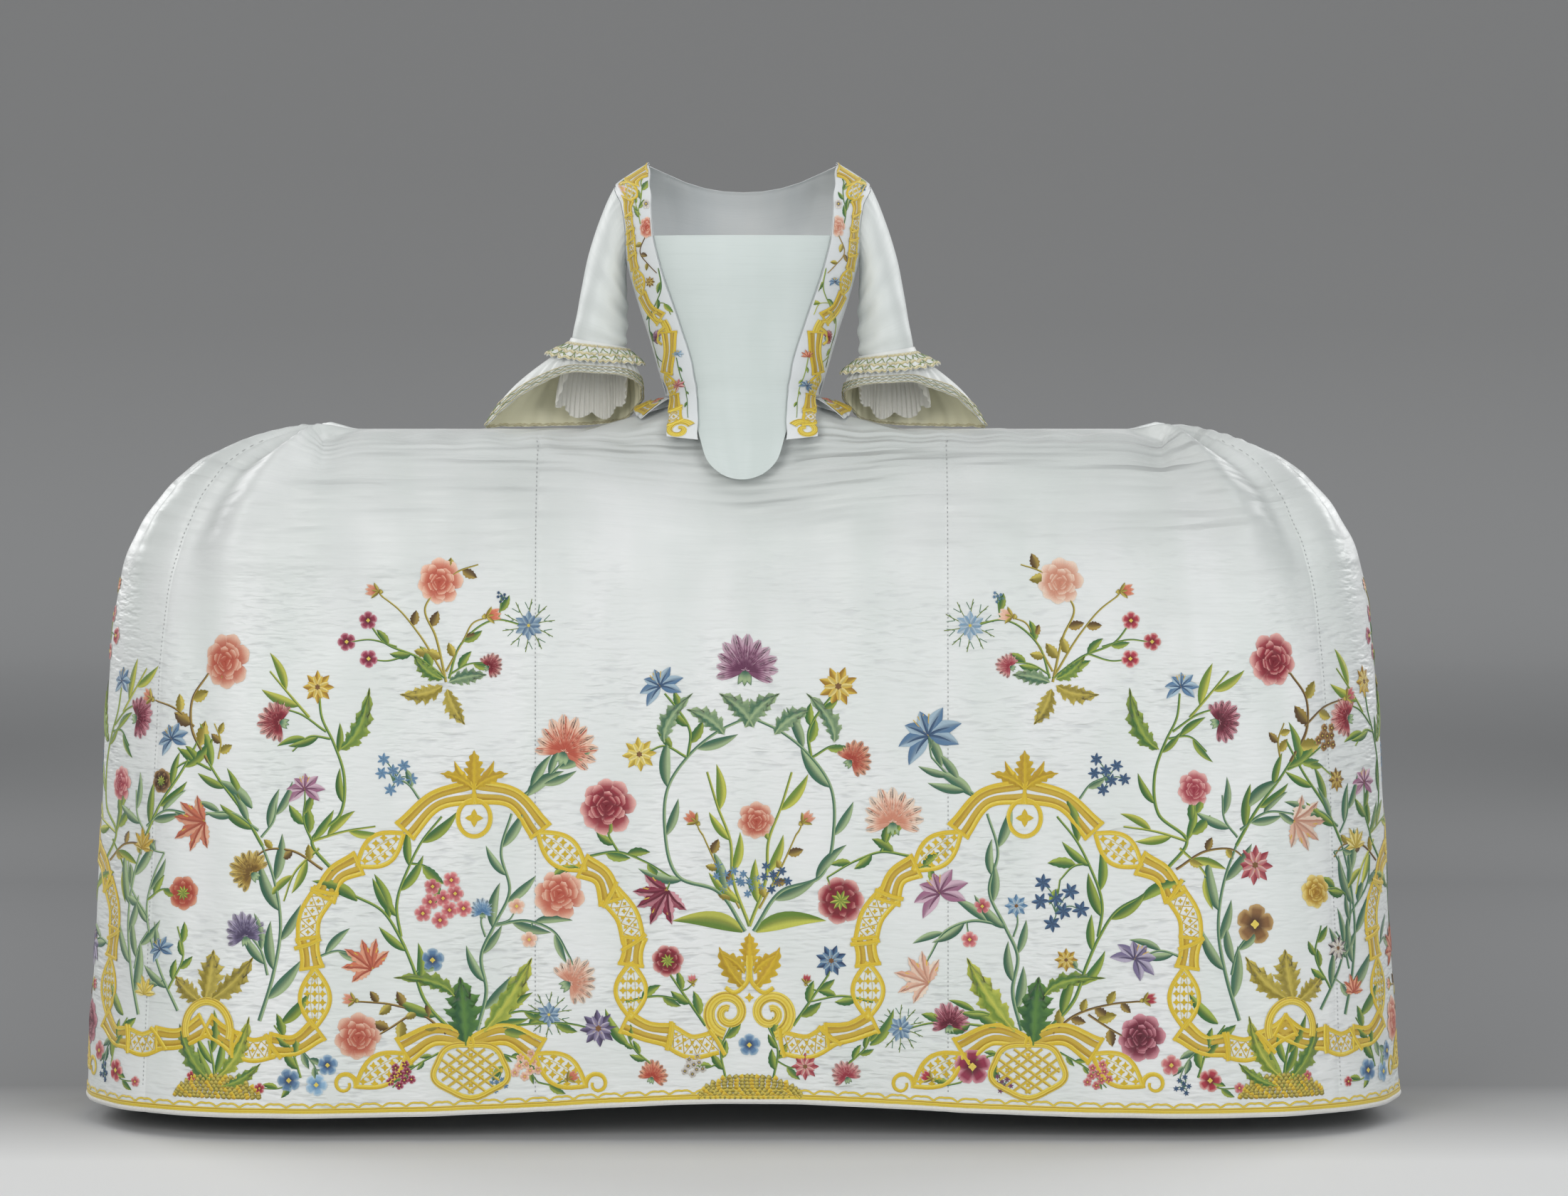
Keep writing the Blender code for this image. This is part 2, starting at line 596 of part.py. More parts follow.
def bodice_back():
    """Both halves of the back in one piece, from side seam to side seam."""
    across = np.linspace(0, 1, BACK_STRIPS + 1)
    angles, heights = [], []
    for z in BODICE_LOW:
        angles.append(np.pi / 2 * across)
        heights.append(np.full_like(across, z))
    on_neck = np.clip(across / BACK_NECK_SHARE, 0, 1)
    on_shoulder = np.clip((across - BACK_NECK_SHARE) / (1 - BACK_NECK_SHARE), 0, 1)
    edge_z = BACK_NECK_Z + (NECK_Z - BACK_NECK_Z) * on_neck**BACK_NECK_CURVE - (NECK_Z - SHOULDER_Z) * on_shoulder
    neck_x = torso_size("half_width", NECK_Z) * on_neck
    edge_angle = np.where(on_neck < 1, angle_of_share(neck_x / torso_size("half_width", edge_z)), np.pi / 2)
    for share in BODICE_HIGH:
        z = UNDERARM_Z + share * (edge_z - UNDERARM_Z)
        last = armhole_angle(z[-1], 1.0)
        angles.append(last * (1 - share) * across + last * share * edge_angle / (np.pi / 2))
        heights.append(z)
    points, inward = torso_layer(np.array(angles), np.array(heights), 1, facing=1.0)
    mirror = np.array([-1.0, 1.0, 1.0])
    points = np.concatenate([(points * mirror)[:, :0:-1], points], axis=1)
    inward = np.concatenate([(inward * mirror)[:, :0:-1], inward], axis=1)
    # The shoulder and side seams: the back stands off by the seam's gap
    points[..., 1] = np.maximum(points[..., 1], SEAM_GAP)
    return points, inward


def make_bodice():
    for name, side in (("left", 1.0), ("right", -1.0)):
        points, inward = bodice_front(side)
        cloth(f"bodice_front_{name}", points, inward, "silk")
    points, inward = bodice_back()
    cloth("bodice_back", points, inward, "silk")


def robing(side):
    """The turned-back band down each front edge, two layers out from the torso."""
    angle, z = front_grid()
    points, inward = torso_layer(angle[:, : ROBING_STRIPS + 1], z[:, : ROBING_STRIPS + 1], 2)
    mirror = np.array([side, 1.0, 1.0])
    return points * mirror, inward * mirror


def make_robings():
    for name, side in (("left", 1.0), ("right", -1.0)):
        points, inward = robing(side)
        cloth(f"robing_{name}", points, inward, "embroidered_silk")


def make_stomacher():
    z, half_width, rise = table(STOMACHER)
    across = np.linspace(-1, 1, STOMACHER_STRIPS + 1)
    height = z[:, None] + rise[:, None] * across**2
    share = half_width[:, None] * across / torso_size("half_width", height)
    angle = np.sign(share) * angle_of_share(np.abs(share))
    points, inward = torso_layer(angle, height, 0)
    cloth("stomacher", points + inward * STOMACHER_INSET, inward, "stomacher_silk")


# Sleeves


def armhole(angle):
    """A point of the sleeve's top edge: angle 0 is the shoulder and a quarter turn the front."""
    middle = (UNDERARM_Z + SHOULDER_Z) / 2
    z = middle + (SHOULDER_Z - middle) * np.cos(angle)
    found = np.empty(angle.shape + (3,))
    for facing in (-1.0, 1.0):
        chosen = np.sin(angle) * -facing >= 0
        points, _ = torso_layer(armhole_angle(z, facing), z, 1, facing)
        found[chosen] = points[chosen]
    found[..., 0] += ARMHOLE_GAP
    return found


def sleeve_drop(side):
    return LEFT_ELBOW_DROP if side > 0 else 0.0


def sleeve_ring(k, angle, side):
    outer_x, outer_z, inner_x, inner_z, half_depth, centre_y = SLEEVE[k]
    drop = sleeve_drop(side) * (k + 1) / len(SLEEVE)
    middle = np.array([(outer_x + inner_x) / 2, centre_y, (outer_z + inner_z) / 2 - drop])
    reach = np.array([(outer_x - inner_x) / 2, 0, (outer_z - inner_z) / 2])
    forward = np.array([0, -half_depth, 0])
    return middle + reach * np.cos(angle)[..., None] + forward * np.sin(angle)[..., None]


def sleeve(angle, t, side=1.0):
    """The sleeve as the +X one: angle 0 is its outer line, and t counts rings from the armhole."""
    rings = np.stack([armhole(angle)] + [sleeve_ring(k, angle, side) for k in range(len(SLEEVE))])
    last = len(rings) - 1
    i = np.clip(np.floor(t).astype(int), 0, last - 1)
    f = (t - i)[..., None]

    def ring(j):
        return np.take_along_axis(rings, np.clip(j, 0, last)[None, ..., None], axis=0)[0]

    before, here, there, after = ring(i - 1), ring(i), ring(i + 1), ring(i + 2)
    leave, arrive = (there - before) / 2, (after - here) / 2
    found = here * (1 + 2 * f) * (1 - f) ** 2 + there * f**2 * (3 - 2 * f)
    return found + leave * f * (1 - f) ** 2 + arrive * f**2 * (f - 1)


def make_sleeves():
    turn = np.linspace(0, 2 * np.pi, SLEEVE_STRIPS + 1)[:-1]
    for name, side in (("left", 1.0), ("right", -1.0)):
        angle, t = grid(turn, SLEEVE_ROWS)
        outward = normals(lambda a, r: sleeve(a, r, side), angle, t, (-1, 8), (0, len(SLEEVE)), step=5e-4)
        points = sleeve(angle, t, side)
        mirror = np.array([side, 1.0, 1.0])
        cloth(f"sleeve_{name}", points * mirror, -outward * mirror, "silk", closed=True)


# Ruffles and flounces. Round the arm, angle 0 is the front, a quarter turn the outer side and a half turn the back.


def elbow(angle, side):
    """The sleeve's lower edge at that angle round the arm, a hair below it."""
    ring = sleeve_ring(len(SLEEVE) - 1, np.pi / 2 - angle, side)
    return ring - np.array([0, 0, 2 * SEAM_GAP])


def edge_curve(rows, angle, whole_turn):
    """The flounce's edge: a smooth closed or open curve through the table's places."""
    degrees, x, y, z = table(rows)
    if whole_turn:
        degrees = np.concatenate([degrees[-2:] - 360, degrees, degrees[:2] + 360])
        x, y, z = (np.concatenate([c[-2:], c, c[:2]]) for c in (x, y, z))
    turn = np.degrees(angle)
    return point(*(smooth(turn, degrees, c) for c in (x, y, z)))


def flounce_edge(angle, side):
    edge = edge_curve(FLOUNCE_EDGE, angle, True)
    outer = np.exp(-(((np.degrees(angle) - RIGHT_REACH_ANGLE) / RIGHT_REACH_SPREAD) ** 2))
    edge[..., 0] += (RIGHT_FLOUNCE_REACH if side < 0 else 0.0) * outer
    near_top = np.clip(edge[..., 2] / DROP_EASE, 0, 1)
    edge[..., 2] -= sleeve_drop(side) * near_top
    return edge


def flounce(angle, share, side):
    """From the sleeve's edge, share 0, to the flounce's own edge, share 1, with its pleats."""
    top = elbow(angle, side) - away_from_middle(angle) * FLOUNCE_TOP_INSET
    foot = flounce_edge(angle, side)
    length = np.linalg.norm(foot - top, axis=-1)
    share = np.asarray(share, dtype=float)
    found = top + (foot - top) * share[..., None]
    sag = np.sin(np.pi * share) * length * FLOUNCE_SAG
    found = found + away_from_middle(angle) * sag[..., None]
    pleat = FLOUNCE_PLEAT_SLOPE * length * share * np.cos(FLOUNCE_PLEATS * angle)
    strength = fade(np.degrees(angle), *FLOUNCE_PLEATS_FROM) * (1 - fade(np.degrees(angle), *FLOUNCE_PLEATS_TO))
    return found + away_from_middle(angle) * (pleat * strength)[..., None]


def flounce_length(angle, side):
    return np.linalg.norm(flounce_edge(angle, side) - elbow(angle, side), axis=-1)


def make_flounces():
    turn = np.linspace(0, 2 * np.pi, 4 * FLOUNCE_PLEATS + 1)[:-1]
    for name, side in (("left", 1.0), ("right", -1.0)):
        mirror = np.array([side, 1.0, 1.0])
        angle, share = grid(turn, FLOUNCE_ROWS)

        def surface(a, h):
            return flounce(a, h, side)

        points = surface(angle, share)
        inward = normals(surface, angle, share, (-1, 8), (0, 1), step=1e-3)
        inward = inward * facing_sign(points, inward)
        lining = points + inward * (FINE_WALL + LINING_GAP)
        pieces = (("flounce", points, "ruffle_silk"), ("flounce_lining", lining, "lining_silk"))
        for piece, outer, material in pieces:
            cloth(
                f"{piece}_{name}", outer * mirror, inward * mirror, material, closed=True, thickness=FINE_WALL
            )


def facing_sign(points, inward):
    """+1 where the directions point towards the middle of the piece on the whole, and -1 where they point away."""
    to_middle = points.mean(axis=(0, 1)) - points
    return 1.0 if (to_middle * inward).sum() > 0 else -1.0


def inner_flounce(angle, share, side):
    start = elbow(angle, side) - away_from_middle(angle) * INNER_FLOUNCE_INSET
    start[..., 2] += INNER_FLOUNCE_RISE
    foot = edge_curve(INNER_FLOUNCE_EDGE, angle, False)
    foot[..., 2] -= sleeve_drop(side) * np.clip(foot[..., 2] / DROP_EASE, 0, 1)
    found = start + (foot - start) * share[..., None]
    sag = np.sin(np.pi * share) * INNER_FLOUNCE_SAG
    found = found + away_from_middle(angle) * sag[..., None]
    first, last = INNER_FLOUNCE_EDGE[0][0], INNER_FLOUNCE_EDGE[-1][0]
    phase = (np.degrees(angle) - first) / (last - first) * INNER_SCALLOPS
    lobe = np.abs(np.sin(np.pi * phase))
    found[..., 2] = found[..., 2] - INNER_SCALLOP * (lobe - 0.5) * share
    return found - away_from_middle(angle) * (INNER_SCALLOP_TUCK * (1 - lobe) * share)[..., None]


def make_inner_flounces():
    first, last = np.radians(INNER_FLOUNCE_EDGE[0][0]), np.radians(INNER_FLOUNCE_EDGE[-1][0])
    for name, side in (("left", 1.0), ("right", -1.0)):
        mirror = np.array([side, 1.0, 1.0])
        angle, share = grid(np.linspace(first, last, INNER_FLOUNCE_STRIPS + 1), FLOUNCE_ROWS)

        def surface(a, h):
            return inner_flounce(np.clip(a, first, last), h, side)

        points = surface(angle, share)
        inward = normals(surface, angle, share, (first, last), (0, 1), step=1e-3)
        sign = facing_sign(points, inward)
        cloth(f"inner_flounce_{name}", points * mirror, inward * sign * mirror, "linen", thickness=FINE_WALL)


def ruffle(angle, share, side):
    """The gathered cuff ruffle: it starts on the sleeve and lies out over the top of the flounce."""
    out = away_from_middle(angle)
    on_sleeve = sleeve(np.pi / 2 - angle, np.full_like(angle, RUFFLE_SLEEVE_RING), side) + out * RUFFLE_SLEEVE_GAP
    depth = np.clip((share - RUFFLE_ON_SLEEVE) / (1 - RUFFLE_ON_SLEEVE), 0, 1) * RUFFLE_DEPTH
    over = flounce(angle, depth / flounce_length(angle, side), side)
    wave = (1 + np.cos(RUFFLE_WAVES * angle)) / 2
    lift = RUFFLE_LIFT + RUFFLE_WAVE * wave * fade(share, 0.1, 1) + RUFFLE_FLARE * share
    over = over + out * lift[..., None] + np.array([0, 0, RUFFLE_RISE])
    blend = fade(share, 0, 0.35)[..., None]
    return on_sleeve * (1 - blend) + over * blend


def make_ruffles():
    turn = np.linspace(0, 2 * np.pi, 4 * RUFFLE_WAVES + 1)[:-1]
    for name, side in (("left", 1.0), ("right", -1.0)):
        mirror = np.array([side, 1.0, 1.0])
        angle, share = grid(turn, RUFFLE_ROWS)
        points = ruffle(angle, share, side)
        inward = -away_from_middle(angle)
        cloth(
            f"cuff_ruffle_{name}", points * mirror, inward * mirror, "ruffle_silk", closed=True, thickness=FINE_WALL
        )


# Overskirt and train


def overskirt(turn, share):
    """A short flare round the waist: turn is 0 at the centre front and half a turn at the back."""
    depth = np.where(np.cos(turn) > 0, torso_size("front", 0.0), torso_size("back", 0.0))
    half_width = torso_size("half_width", 0.0)
    start_z = BODICE_FOOT_Z - OVERSKIRT_DROP + 0 * turn
    start = point((half_width + LAYER) * np.sin(turn), -(depth + LAYER) * np.cos(turn), start_z)
    out = unit(point(np.sin(turn), -np.cos(turn), 0 * turn))
    degrees = np.degrees(turn)
    width = OVERSKIRT_WIDTH * (1 - OVERSKIRT_NARROWS * fade(degrees, 90, OVERSKIRT_LAST))
    in_corner = 1 - fade(degrees, OVERSKIRT_FIRST, OVERSKIRT_FIRST + OVERSKIRT_CORNER)
    fall = OVERSKIRT_FALL + OVERSKIRT_CORNER_FALL * in_corner
    down = (fall * share**OVERSKIRT_CURVE)[..., None] * np.array([0, 0, -1.0])
    return start + out * (width * share)[..., None] + down


def make_overskirts():
    turns = np.radians(np.linspace(OVERSKIRT_FIRST, OVERSKIRT_LAST, OVERSKIRT_STRIPS + 1))
    for name, side in (("left", 1.0), ("right", -1.0)):
        mirror = np.array([side, 1.0, 1.0])
        turn, share = grid(turns, OVERSKIRT_ROWS)
        points = overskirt(turn, share)
        outward = normals(overskirt, turn, share, (0, np.pi), (0, 1), step=1e-3)
        outward = outward * np.sign(outward[..., 2:3])
        cloth(f"overskirt_{name}", points * mirror, -outward * mirror, "embroidered_silk")


def train_half(t):
    return TRAIN_TOP_HALF + (TRAIN_FOOT_HALF - TRAIN_TOP_HALF) * fade(t, 0, TRAIN_SPREAD_RINGS)


def train(u, t):
    """The train lies over the back of the petticoat in soft folds: u runs from -1 to 1 across it."""
    s = HALF_ROUND - u * train_half(t)
    base = petticoat_base(s, t)
    outward = -normals(petticoat_base, s, t, (s.min() - 1, s.max() + 1), (0, len(RINGS)), step=4e-4)
    fold = TRAIN_LIFT + TRAIN_FOLD * fade(t, *TRAIN_FOLD_RINGS) * np.cos(TRAIN_FOLDS * np.pi * u)
    over = base + outward * fold[..., None]
    waist = point(
        (torso_size("half_width", 0.0) + LAYER) * np.sin(TRAIN_WAIST_TURN * u),
        (torso_size("back", 0.0) + LAYER) * np.cos(TRAIN_WAIST_TURN * u),
        BODICE_FOOT_Z - OVERSKIRT_DROP + 0 * u,
    )
    blend = fade(t, 0, TRAIN_LEAVES_WAIST)[..., None]
    return waist * (1 - blend) + over * blend


def make_train():
    u, t = grid(np.linspace(-1, 1, TRAIN_STRIPS + 1), TRAIN_ROWS)
    inward = normals(train, u, t, (-1, 1), (0, TRAIN_ROWS[-1]), step=1e-3)
    points = train(u, t)
    sign = np.sign(-(inward * np.array([0, 1.0, 0.4])).sum(axis=-1, keepdims=True))
    cloth("train", points, inward * sign, "silk")


def main():
    clear_scene()
    make_petticoat()
    make_waistband()
    make_bodice()
    make_stomacher()
    make_robings()
    make_sleeves()
    make_flounces()
    make_inner_flounces()
    make_ruffles()
    make_overskirts()
    make_train()


main()
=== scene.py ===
# %% [markdown]
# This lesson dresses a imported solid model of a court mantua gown. The real gown is pale silver-blue silk,
# cut in straight widths, spread wide at the sides and worked all over in coloured silks and gold-yellow
# ribbons. The solids hold its cut. Here every piece of cloth becomes a thin shell of the same form with
# finer folds, and the needlework is laid on it as small raised shapes that follow the cloth.
#
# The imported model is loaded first. It is the frame that every piece is fitted to.

import json
import math

import bpy
import numpy as np
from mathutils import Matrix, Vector

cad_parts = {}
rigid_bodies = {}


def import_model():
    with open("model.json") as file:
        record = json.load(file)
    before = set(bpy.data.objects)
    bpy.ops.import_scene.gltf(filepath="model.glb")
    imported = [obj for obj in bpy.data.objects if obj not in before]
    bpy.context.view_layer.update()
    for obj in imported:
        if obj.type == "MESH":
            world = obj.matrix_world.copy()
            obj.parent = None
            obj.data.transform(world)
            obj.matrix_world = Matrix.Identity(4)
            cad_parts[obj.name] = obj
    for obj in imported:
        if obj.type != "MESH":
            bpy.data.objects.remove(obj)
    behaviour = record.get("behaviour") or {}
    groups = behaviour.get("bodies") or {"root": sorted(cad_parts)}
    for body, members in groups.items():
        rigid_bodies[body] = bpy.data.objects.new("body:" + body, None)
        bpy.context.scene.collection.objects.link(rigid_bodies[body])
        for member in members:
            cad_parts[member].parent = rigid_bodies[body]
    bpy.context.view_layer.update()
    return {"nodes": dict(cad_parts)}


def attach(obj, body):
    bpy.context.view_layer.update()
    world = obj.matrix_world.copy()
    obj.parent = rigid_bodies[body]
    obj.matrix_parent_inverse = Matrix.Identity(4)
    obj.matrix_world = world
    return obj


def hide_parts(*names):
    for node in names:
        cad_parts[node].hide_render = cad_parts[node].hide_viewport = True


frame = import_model()
print("nodes:", len(frame["nodes"]))

# %% [markdown]
# The camera stands seven metres in front of the gown with a long lens, a little above the waist and
# tipped down, so that the gown keeps its true proportions.

# %% The camera
CAMERA_PLACE = (0.060, -7.0, 0.082)
CAMERA_TIP_DOWN = math.radians(3.06)
LENS_MM = 110.1
SENSOR_MM = 36.0


def new_object(name, data):
    made = bpy.data.objects.new(name, data)
    bpy.context.collection.objects.link(made)
    return made


lens = bpy.data.cameras.new("camera")
lens.lens = LENS_MM
lens.sensor_width = SENSOR_MM
camera = new_object("camera", lens)
camera.location = CAMERA_PLACE
camera.rotation_euler = (math.pi / 2 - CAMERA_TIP_DOWN, 0, 0)
bpy.context.scene.camera = camera
print("camera at", CAMERA_PLACE, "with a lens of", LENS_MM, "mm")

# %% [markdown]
# Cloth is easiest to place when its form is a function from a place on the flat cloth to one in space.
# The functions below are the ones that shaped the solids, so a shell made from them lies on its solid,
# and needlework can be laid out flat and then carried onto the folds. Tables are written as plain text.

# %% Tables, curves and directions
# Cloth and seams, in metres
SEAM_GAP = 0.0003
LAYER = 0.0025
FINE_WALL = 0.001
LINING_GAP = 0.0007
ARMHOLE_GAP = 0.0014
STOMACHER_INSET = 0.0002


def rows_of(text):
    """A table's rows: words stay words and the rest become numbers."""
    lines = [line.split() for line in text.strip().split("\n")]
    return [[word if word[0].isalpha() else float(word) for word in line] for line in lines]


def table(text):
    """A table's columns as arrays, by the names in its first line."""
    heads, *rows = rows_of(text)
    return dict(zip(heads, np.array(rows).T))


def mixed(first, second, share):
    return first * (1 - share) + second * share


def fade(x, start, end):
    """0 before start, 1 after end, and a smooth ramp between."""
    f = np.clip((x - start) / (end - start), 0, 1)
    return f * f * (3 - 2 * f)


def between(x, rises, falls):
    """1 between two ramps, each given as where it starts and ends, and 0 outside them."""
    return fade(x, *rises) * (1 - fade(x, *falls))


def hump(x, width):
    """1 in the middle, dying away over about that width."""
    return np.exp(-((x / width) ** 2))


def cubic(here, there, leave, arrive, f):
    """The cubic piece from here to there that leaves and arrives at those slopes."""
    found = here * (1 + 2 * f) * (1 - f) ** 2 + there * f**2 * (3 - 2 * f)
    return found + leave * f * (1 - f) ** 2 + arrive * f**2 * (f - 1)


def smooth(x, knots, values):
    """A smooth curve through a table's points, on the table's own slopes."""
    x = np.clip(x, knots[0], knots[-1])
    i = np.clip(np.searchsorted(knots, x, side="right") - 1, 0, len(knots) - 2)
    step = knots[i + 1] - knots[i]
    slope = np.gradient(values, knots)
    return cubic(values[i], values[i + 1], step * slope[i], step * slope[i + 1], (x - knots[i]) / step)


def through_rings(rings, t):
    """Places on smooth curves down through a stack of rings: t counts the rings."""
    last = len(rings) - 1
    i = np.clip(np.floor(t).astype(int), 0, last - 1)
    f = (t - i)[..., None]

    def ring(j):
        return np.take_along_axis(rings, np.clip(j, 0, last)[None, ..., None], axis=0)[0]

    before, here, there, after = (ring(i + step) for step in (-1, 0, 1, 2))
    return cubic(here, there, (there - before) / 2, (after - here) / 2, f)


def distances(points, axis=0):
    """From each point to the next along a row or a grid."""
    return np.linalg.norm(np.diff(points, axis=axis), axis=-1)


def running(steps):
    """The length reached after each step, from 0."""
    return np.concatenate([[0], np.cumsum(steps)])


def oval(angle, squareness):
    """The sine and cosine of an oval: 2 is round, and more is squarer."""
    return (np.sign(v) * np.abs(v) ** (2 / squareness) for v in (np.sin(angle), np.cos(angle)))


def point(x, y, z):
    return np.stack(np.broadcast_arrays(x, y, z), axis=-1).astype(float)


UP = np.array([0, 0, 1.0])


def unit(vectors):
    return vectors / np.maximum(np.linalg.norm(vectors, axis=-1, keepdims=True), 1e-12)


def normals(surface, u, v, u_range, v_range, step=2e-3):
    """The surface's unit normals, from points a short way to each side that stay inside its ranges."""
    def each_way(place, ends):
        reach = step * (ends[1] - ends[0])
        return np.minimum(place + reach, ends[1]), np.maximum(place - reach, ends[0])

    across, back = each_way(u, u_range)
    down, up = each_way(v, v_range)
    return unit(np.cross(surface(across, v) - surface(back, v), surface(u, down) - surface(u, up)))


def away_from_middle(turn):
    """The level direction at an angle round the body or an arm: 0 is the front, a quarter turn +X."""
    return point(np.sin(turn), -np.cos(turn), 0 * turn)


def grid(us, vs):
    """Rows of v by columns of u."""
    return np.meshgrid(np.asarray(us, dtype=float), np.asarray(vs, dtype=float))


def all_round(count):
    return np.linspace(0, 2 * np.pi, count + 1)[:-1]


# %% [markdown]
# The petticoat is eight loom widths sewn side by side. It spreads flat over the hoops, turns round each
# end of them and is gathered up to a slit along each hip. Each ring below is one level of it.

# %% The petticoat's form
FLAT_HALF_WIDTH = 0.60
CORNER_POWER = 2.2
SILK_WIDTH = 0.578
CENTRE_SPREAD = 0.17
WAIST_CLOTH = 0.20
RIDGE_CLOTH = 0.56
RIDGE_HALF_WIDTH = 0.54
RIDGE_Z = -0.045
RIDGE_FALL_END = 0.172
WAIST_HALF_WIDTH = 0.104
WAIST_FRONT = 0.094
WAIST_BACK = 0.078
WAIST_Z = -0.012
WAISTBAND_WIDTH = 0.030
HEM_RISE = 0.022
HEM_RISE_SPREAD = 0.34

# One row for each ring below the slit: half width, height at the sides, depth of the front and of the
# back, how far the centre stands out from the flat front, and the height at the centre
RING = table("""
half_width side_z front back centre_out centre_z
0.662 -0.05 0.075 0.09  0.022 -0.034
0.742 -0.068 0.125 0.15 -0.008 -0.078
0.806 -0.1 0.16 0.19 -0.024 -0.125
0.864 -0.165 0.19 0.225 -0.02 -0.185
0.905 -0.26 0.205 0.25 -0.006 -0.262
0.928 -0.45 0.222 0.275  0 -0.45
0.944 -0.73 0.238 0.305  0 -0.73
0.961 -1.0186 0.25 0.33 0 -1.0186
""")
HEM_RING = 7

# Pleats fan down from each hip. Places are cloth lengths from the centre front (or centre back), at the
# top and where the pleat dies out. A height below 0 is a furrow.
# Columns: top, foot, height, half width, first ring, last ring
PLEATS = rows_of("""
0.5 0.44 -0.004 0.022 0.5 2.6
0.595 0.6 -0.011 0.03 0.5 4
0.69 0.765  0.013 0.04 0.5 5.2
0.8 0.85 -0.012 0.036 0.5 5.6
0.905 0.95  0.01 0.04 0.5 5.4
1 1.02 -0.008 0.034 0.5 5
""")
PLEAT_START_RING = 0.15
PLEAT_DEEPENS = 0.5
PLEAT_DIES = 1.6
GATHER_PERIOD = SILK_WIDTH / 7
GATHER_HEIGHT = 0.0022
GATHER_STARTS = (0.1, 0.8)
GATHER_DIES = (1.4, 2.6)
GATHER_SIDE_END = (0.42, 0.56)
SLIT_EASE = 0.02
SIDE_EASE = 0.03
SIDE_FOLD_SHARE = 0.4


def corner_lengths(depth):
    """The angle round the hem's corner, and the length of cloth to each angle."""
    angle = np.linspace(0, np.pi / 2, 600)
    aside, ahead = oval(angle, CORNER_POWER)
    x = (RING["half_width"][HEM_RING] - FLAT_HALF_WIDTH) * aside
    return running(np.hypot(np.diff(x), np.diff(depth * ahead))), angle


FRONT_CORNER = corner_lengths(RING["front"][HEM_RING])
BACK_CORNER = corner_lengths(RING["back"][HEM_RING])
FRONT_HALF = FLAT_HALF_WIDTH + FRONT_CORNER[0][-1]
BACK_HALF = FLAT_HALF_WIDTH + BACK_CORNER[0][-1]
HALF_ROUND = FRONT_HALF + BACK_HALF


def round_hem(s):
    """The same place, as a length between minus and plus half of the way round the hem."""
    return (s + HALF_ROUND) % (2 * HALF_ROUND) - HALF_ROUND


def round_petticoat(s):
    """Side of the body, whether behind, and cloth length from the centre line, at length s."""
    s = round_hem(s)
    along = np.abs(s)
    back = along > FRONT_HALF
    return np.where(s < 0, -1.0, 1.0), back, np.where(back, HALF_ROUND - along, along)


def slit_ring(side, back, along):
    """The top edge: the waist's oval, the ridge out to the hip, and the lips where the pleats meet."""
    half = np.where(back, BACK_HALF, FRONT_HALF)
    turn = np.clip(along / WAIST_CLOTH, 0, 1) * np.pi / 2
    depth = np.where(back, WAIST_BACK, WAIST_FRONT)
    on_ridge = np.clip((along - WAIST_CLOTH) / (RIDGE_CLOTH - WAIST_CLOTH), 0, 1)
    on_lips = np.clip((along - RIDGE_CLOTH) / (half - RIDGE_CLOTH), 0, 1)
    beyond = mixed(WAIST_HALF_WIDTH, RIDGE_HALF_WIDTH, on_ridge)
    beyond = beyond + (FLAT_HALF_WIDTH - RIDGE_HALF_WIDTH) * on_lips
    x = np.where(along < WAIST_CLOTH, WAIST_HALF_WIDTH * np.sin(turn), beyond)
    slit = SEAM_GAP / 2 * np.clip((half - along) / SLIT_EASE, 0, 1)
    y = np.where(along < WAIST_CLOTH, np.maximum(depth * np.cos(turn), SEAM_GAP / 2), slit)
    z = mixed(WAIST_Z, RIDGE_Z, fade(x, WAIST_HALF_WIDTH, RIDGE_FALL_END))
    return point(side * x, np.where(back, y, -y), z)


def lower_ring(k, side, back, along):
    corner = along - FLAT_HALF_WIDTH
    angle = np.where(back, np.interp(corner, *BACK_CORNER), np.interp(corner, *FRONT_CORNER))
    aside, ahead = oval(angle, CORNER_POWER)
    x = np.minimum(along, FLAT_HALF_WIDTH) + (RING["half_width"][k] - FLAT_HALF_WIDTH) * aside
    near_centre = hump(x, CENTRE_SPREAD)
    y = np.where(back, RING["back"][k], RING["front"][k]) * ahead + RING["centre_out"][k] * near_centre
    z = mixed(RING["side_z"][k], RING["centre_z"][k], near_centre)
    if k == HEM_RING:
        z = z + np.where(back, 0, HEM_RISE) * hump(x, HEM_RISE_SPREAD)
    return point(side * x, np.where(back, y, -y), z)


def petticoat_base(s, t):
    """The petticoat with no folds: s runs round it along the hem, and t down it, one for each ring."""
    s, t = np.broadcast_arrays(s, t)
    where = round_petticoat(s)
    rings = [slit_ring(*where)] + [lower_ring(k, *where) for k in range(HEM_RING + 1)]
    return through_rings(np.stack(rings), t)


def petticoat_folds(s, t):
    """How far the folds stand out: the hip pleats and the small gathers below the waist."""
    back, along = round_petticoat(s)[1:]
    height = np.zeros(np.broadcast(s, t).shape)
    for top, foot, rise, half_width, first, last in PLEATS:
        place = mixed(top, foot, fade(t, first, last))
        strength = between(t, (PLEAT_START_RING, first + PLEAT_DEEPENS), (last - PLEAT_DIES, last))
        height = height + rise * strength * hump(along - place, half_width)
    strength = between(t, GATHER_STARTS, GATHER_DIES) * (1 - fade(along, *GATHER_SIDE_END))
    height = height + GATHER_HEIGHT * strength * np.cos(2 * np.pi * (s - SILK_WIDTH / 2) / GATHER_PERIOD)
    to_side = (np.where(back, BACK_HALF, FRONT_HALF) - along) / SIDE_EASE
    return height * np.clip(to_side + SIDE_FOLD_SHARE, 0, 1)


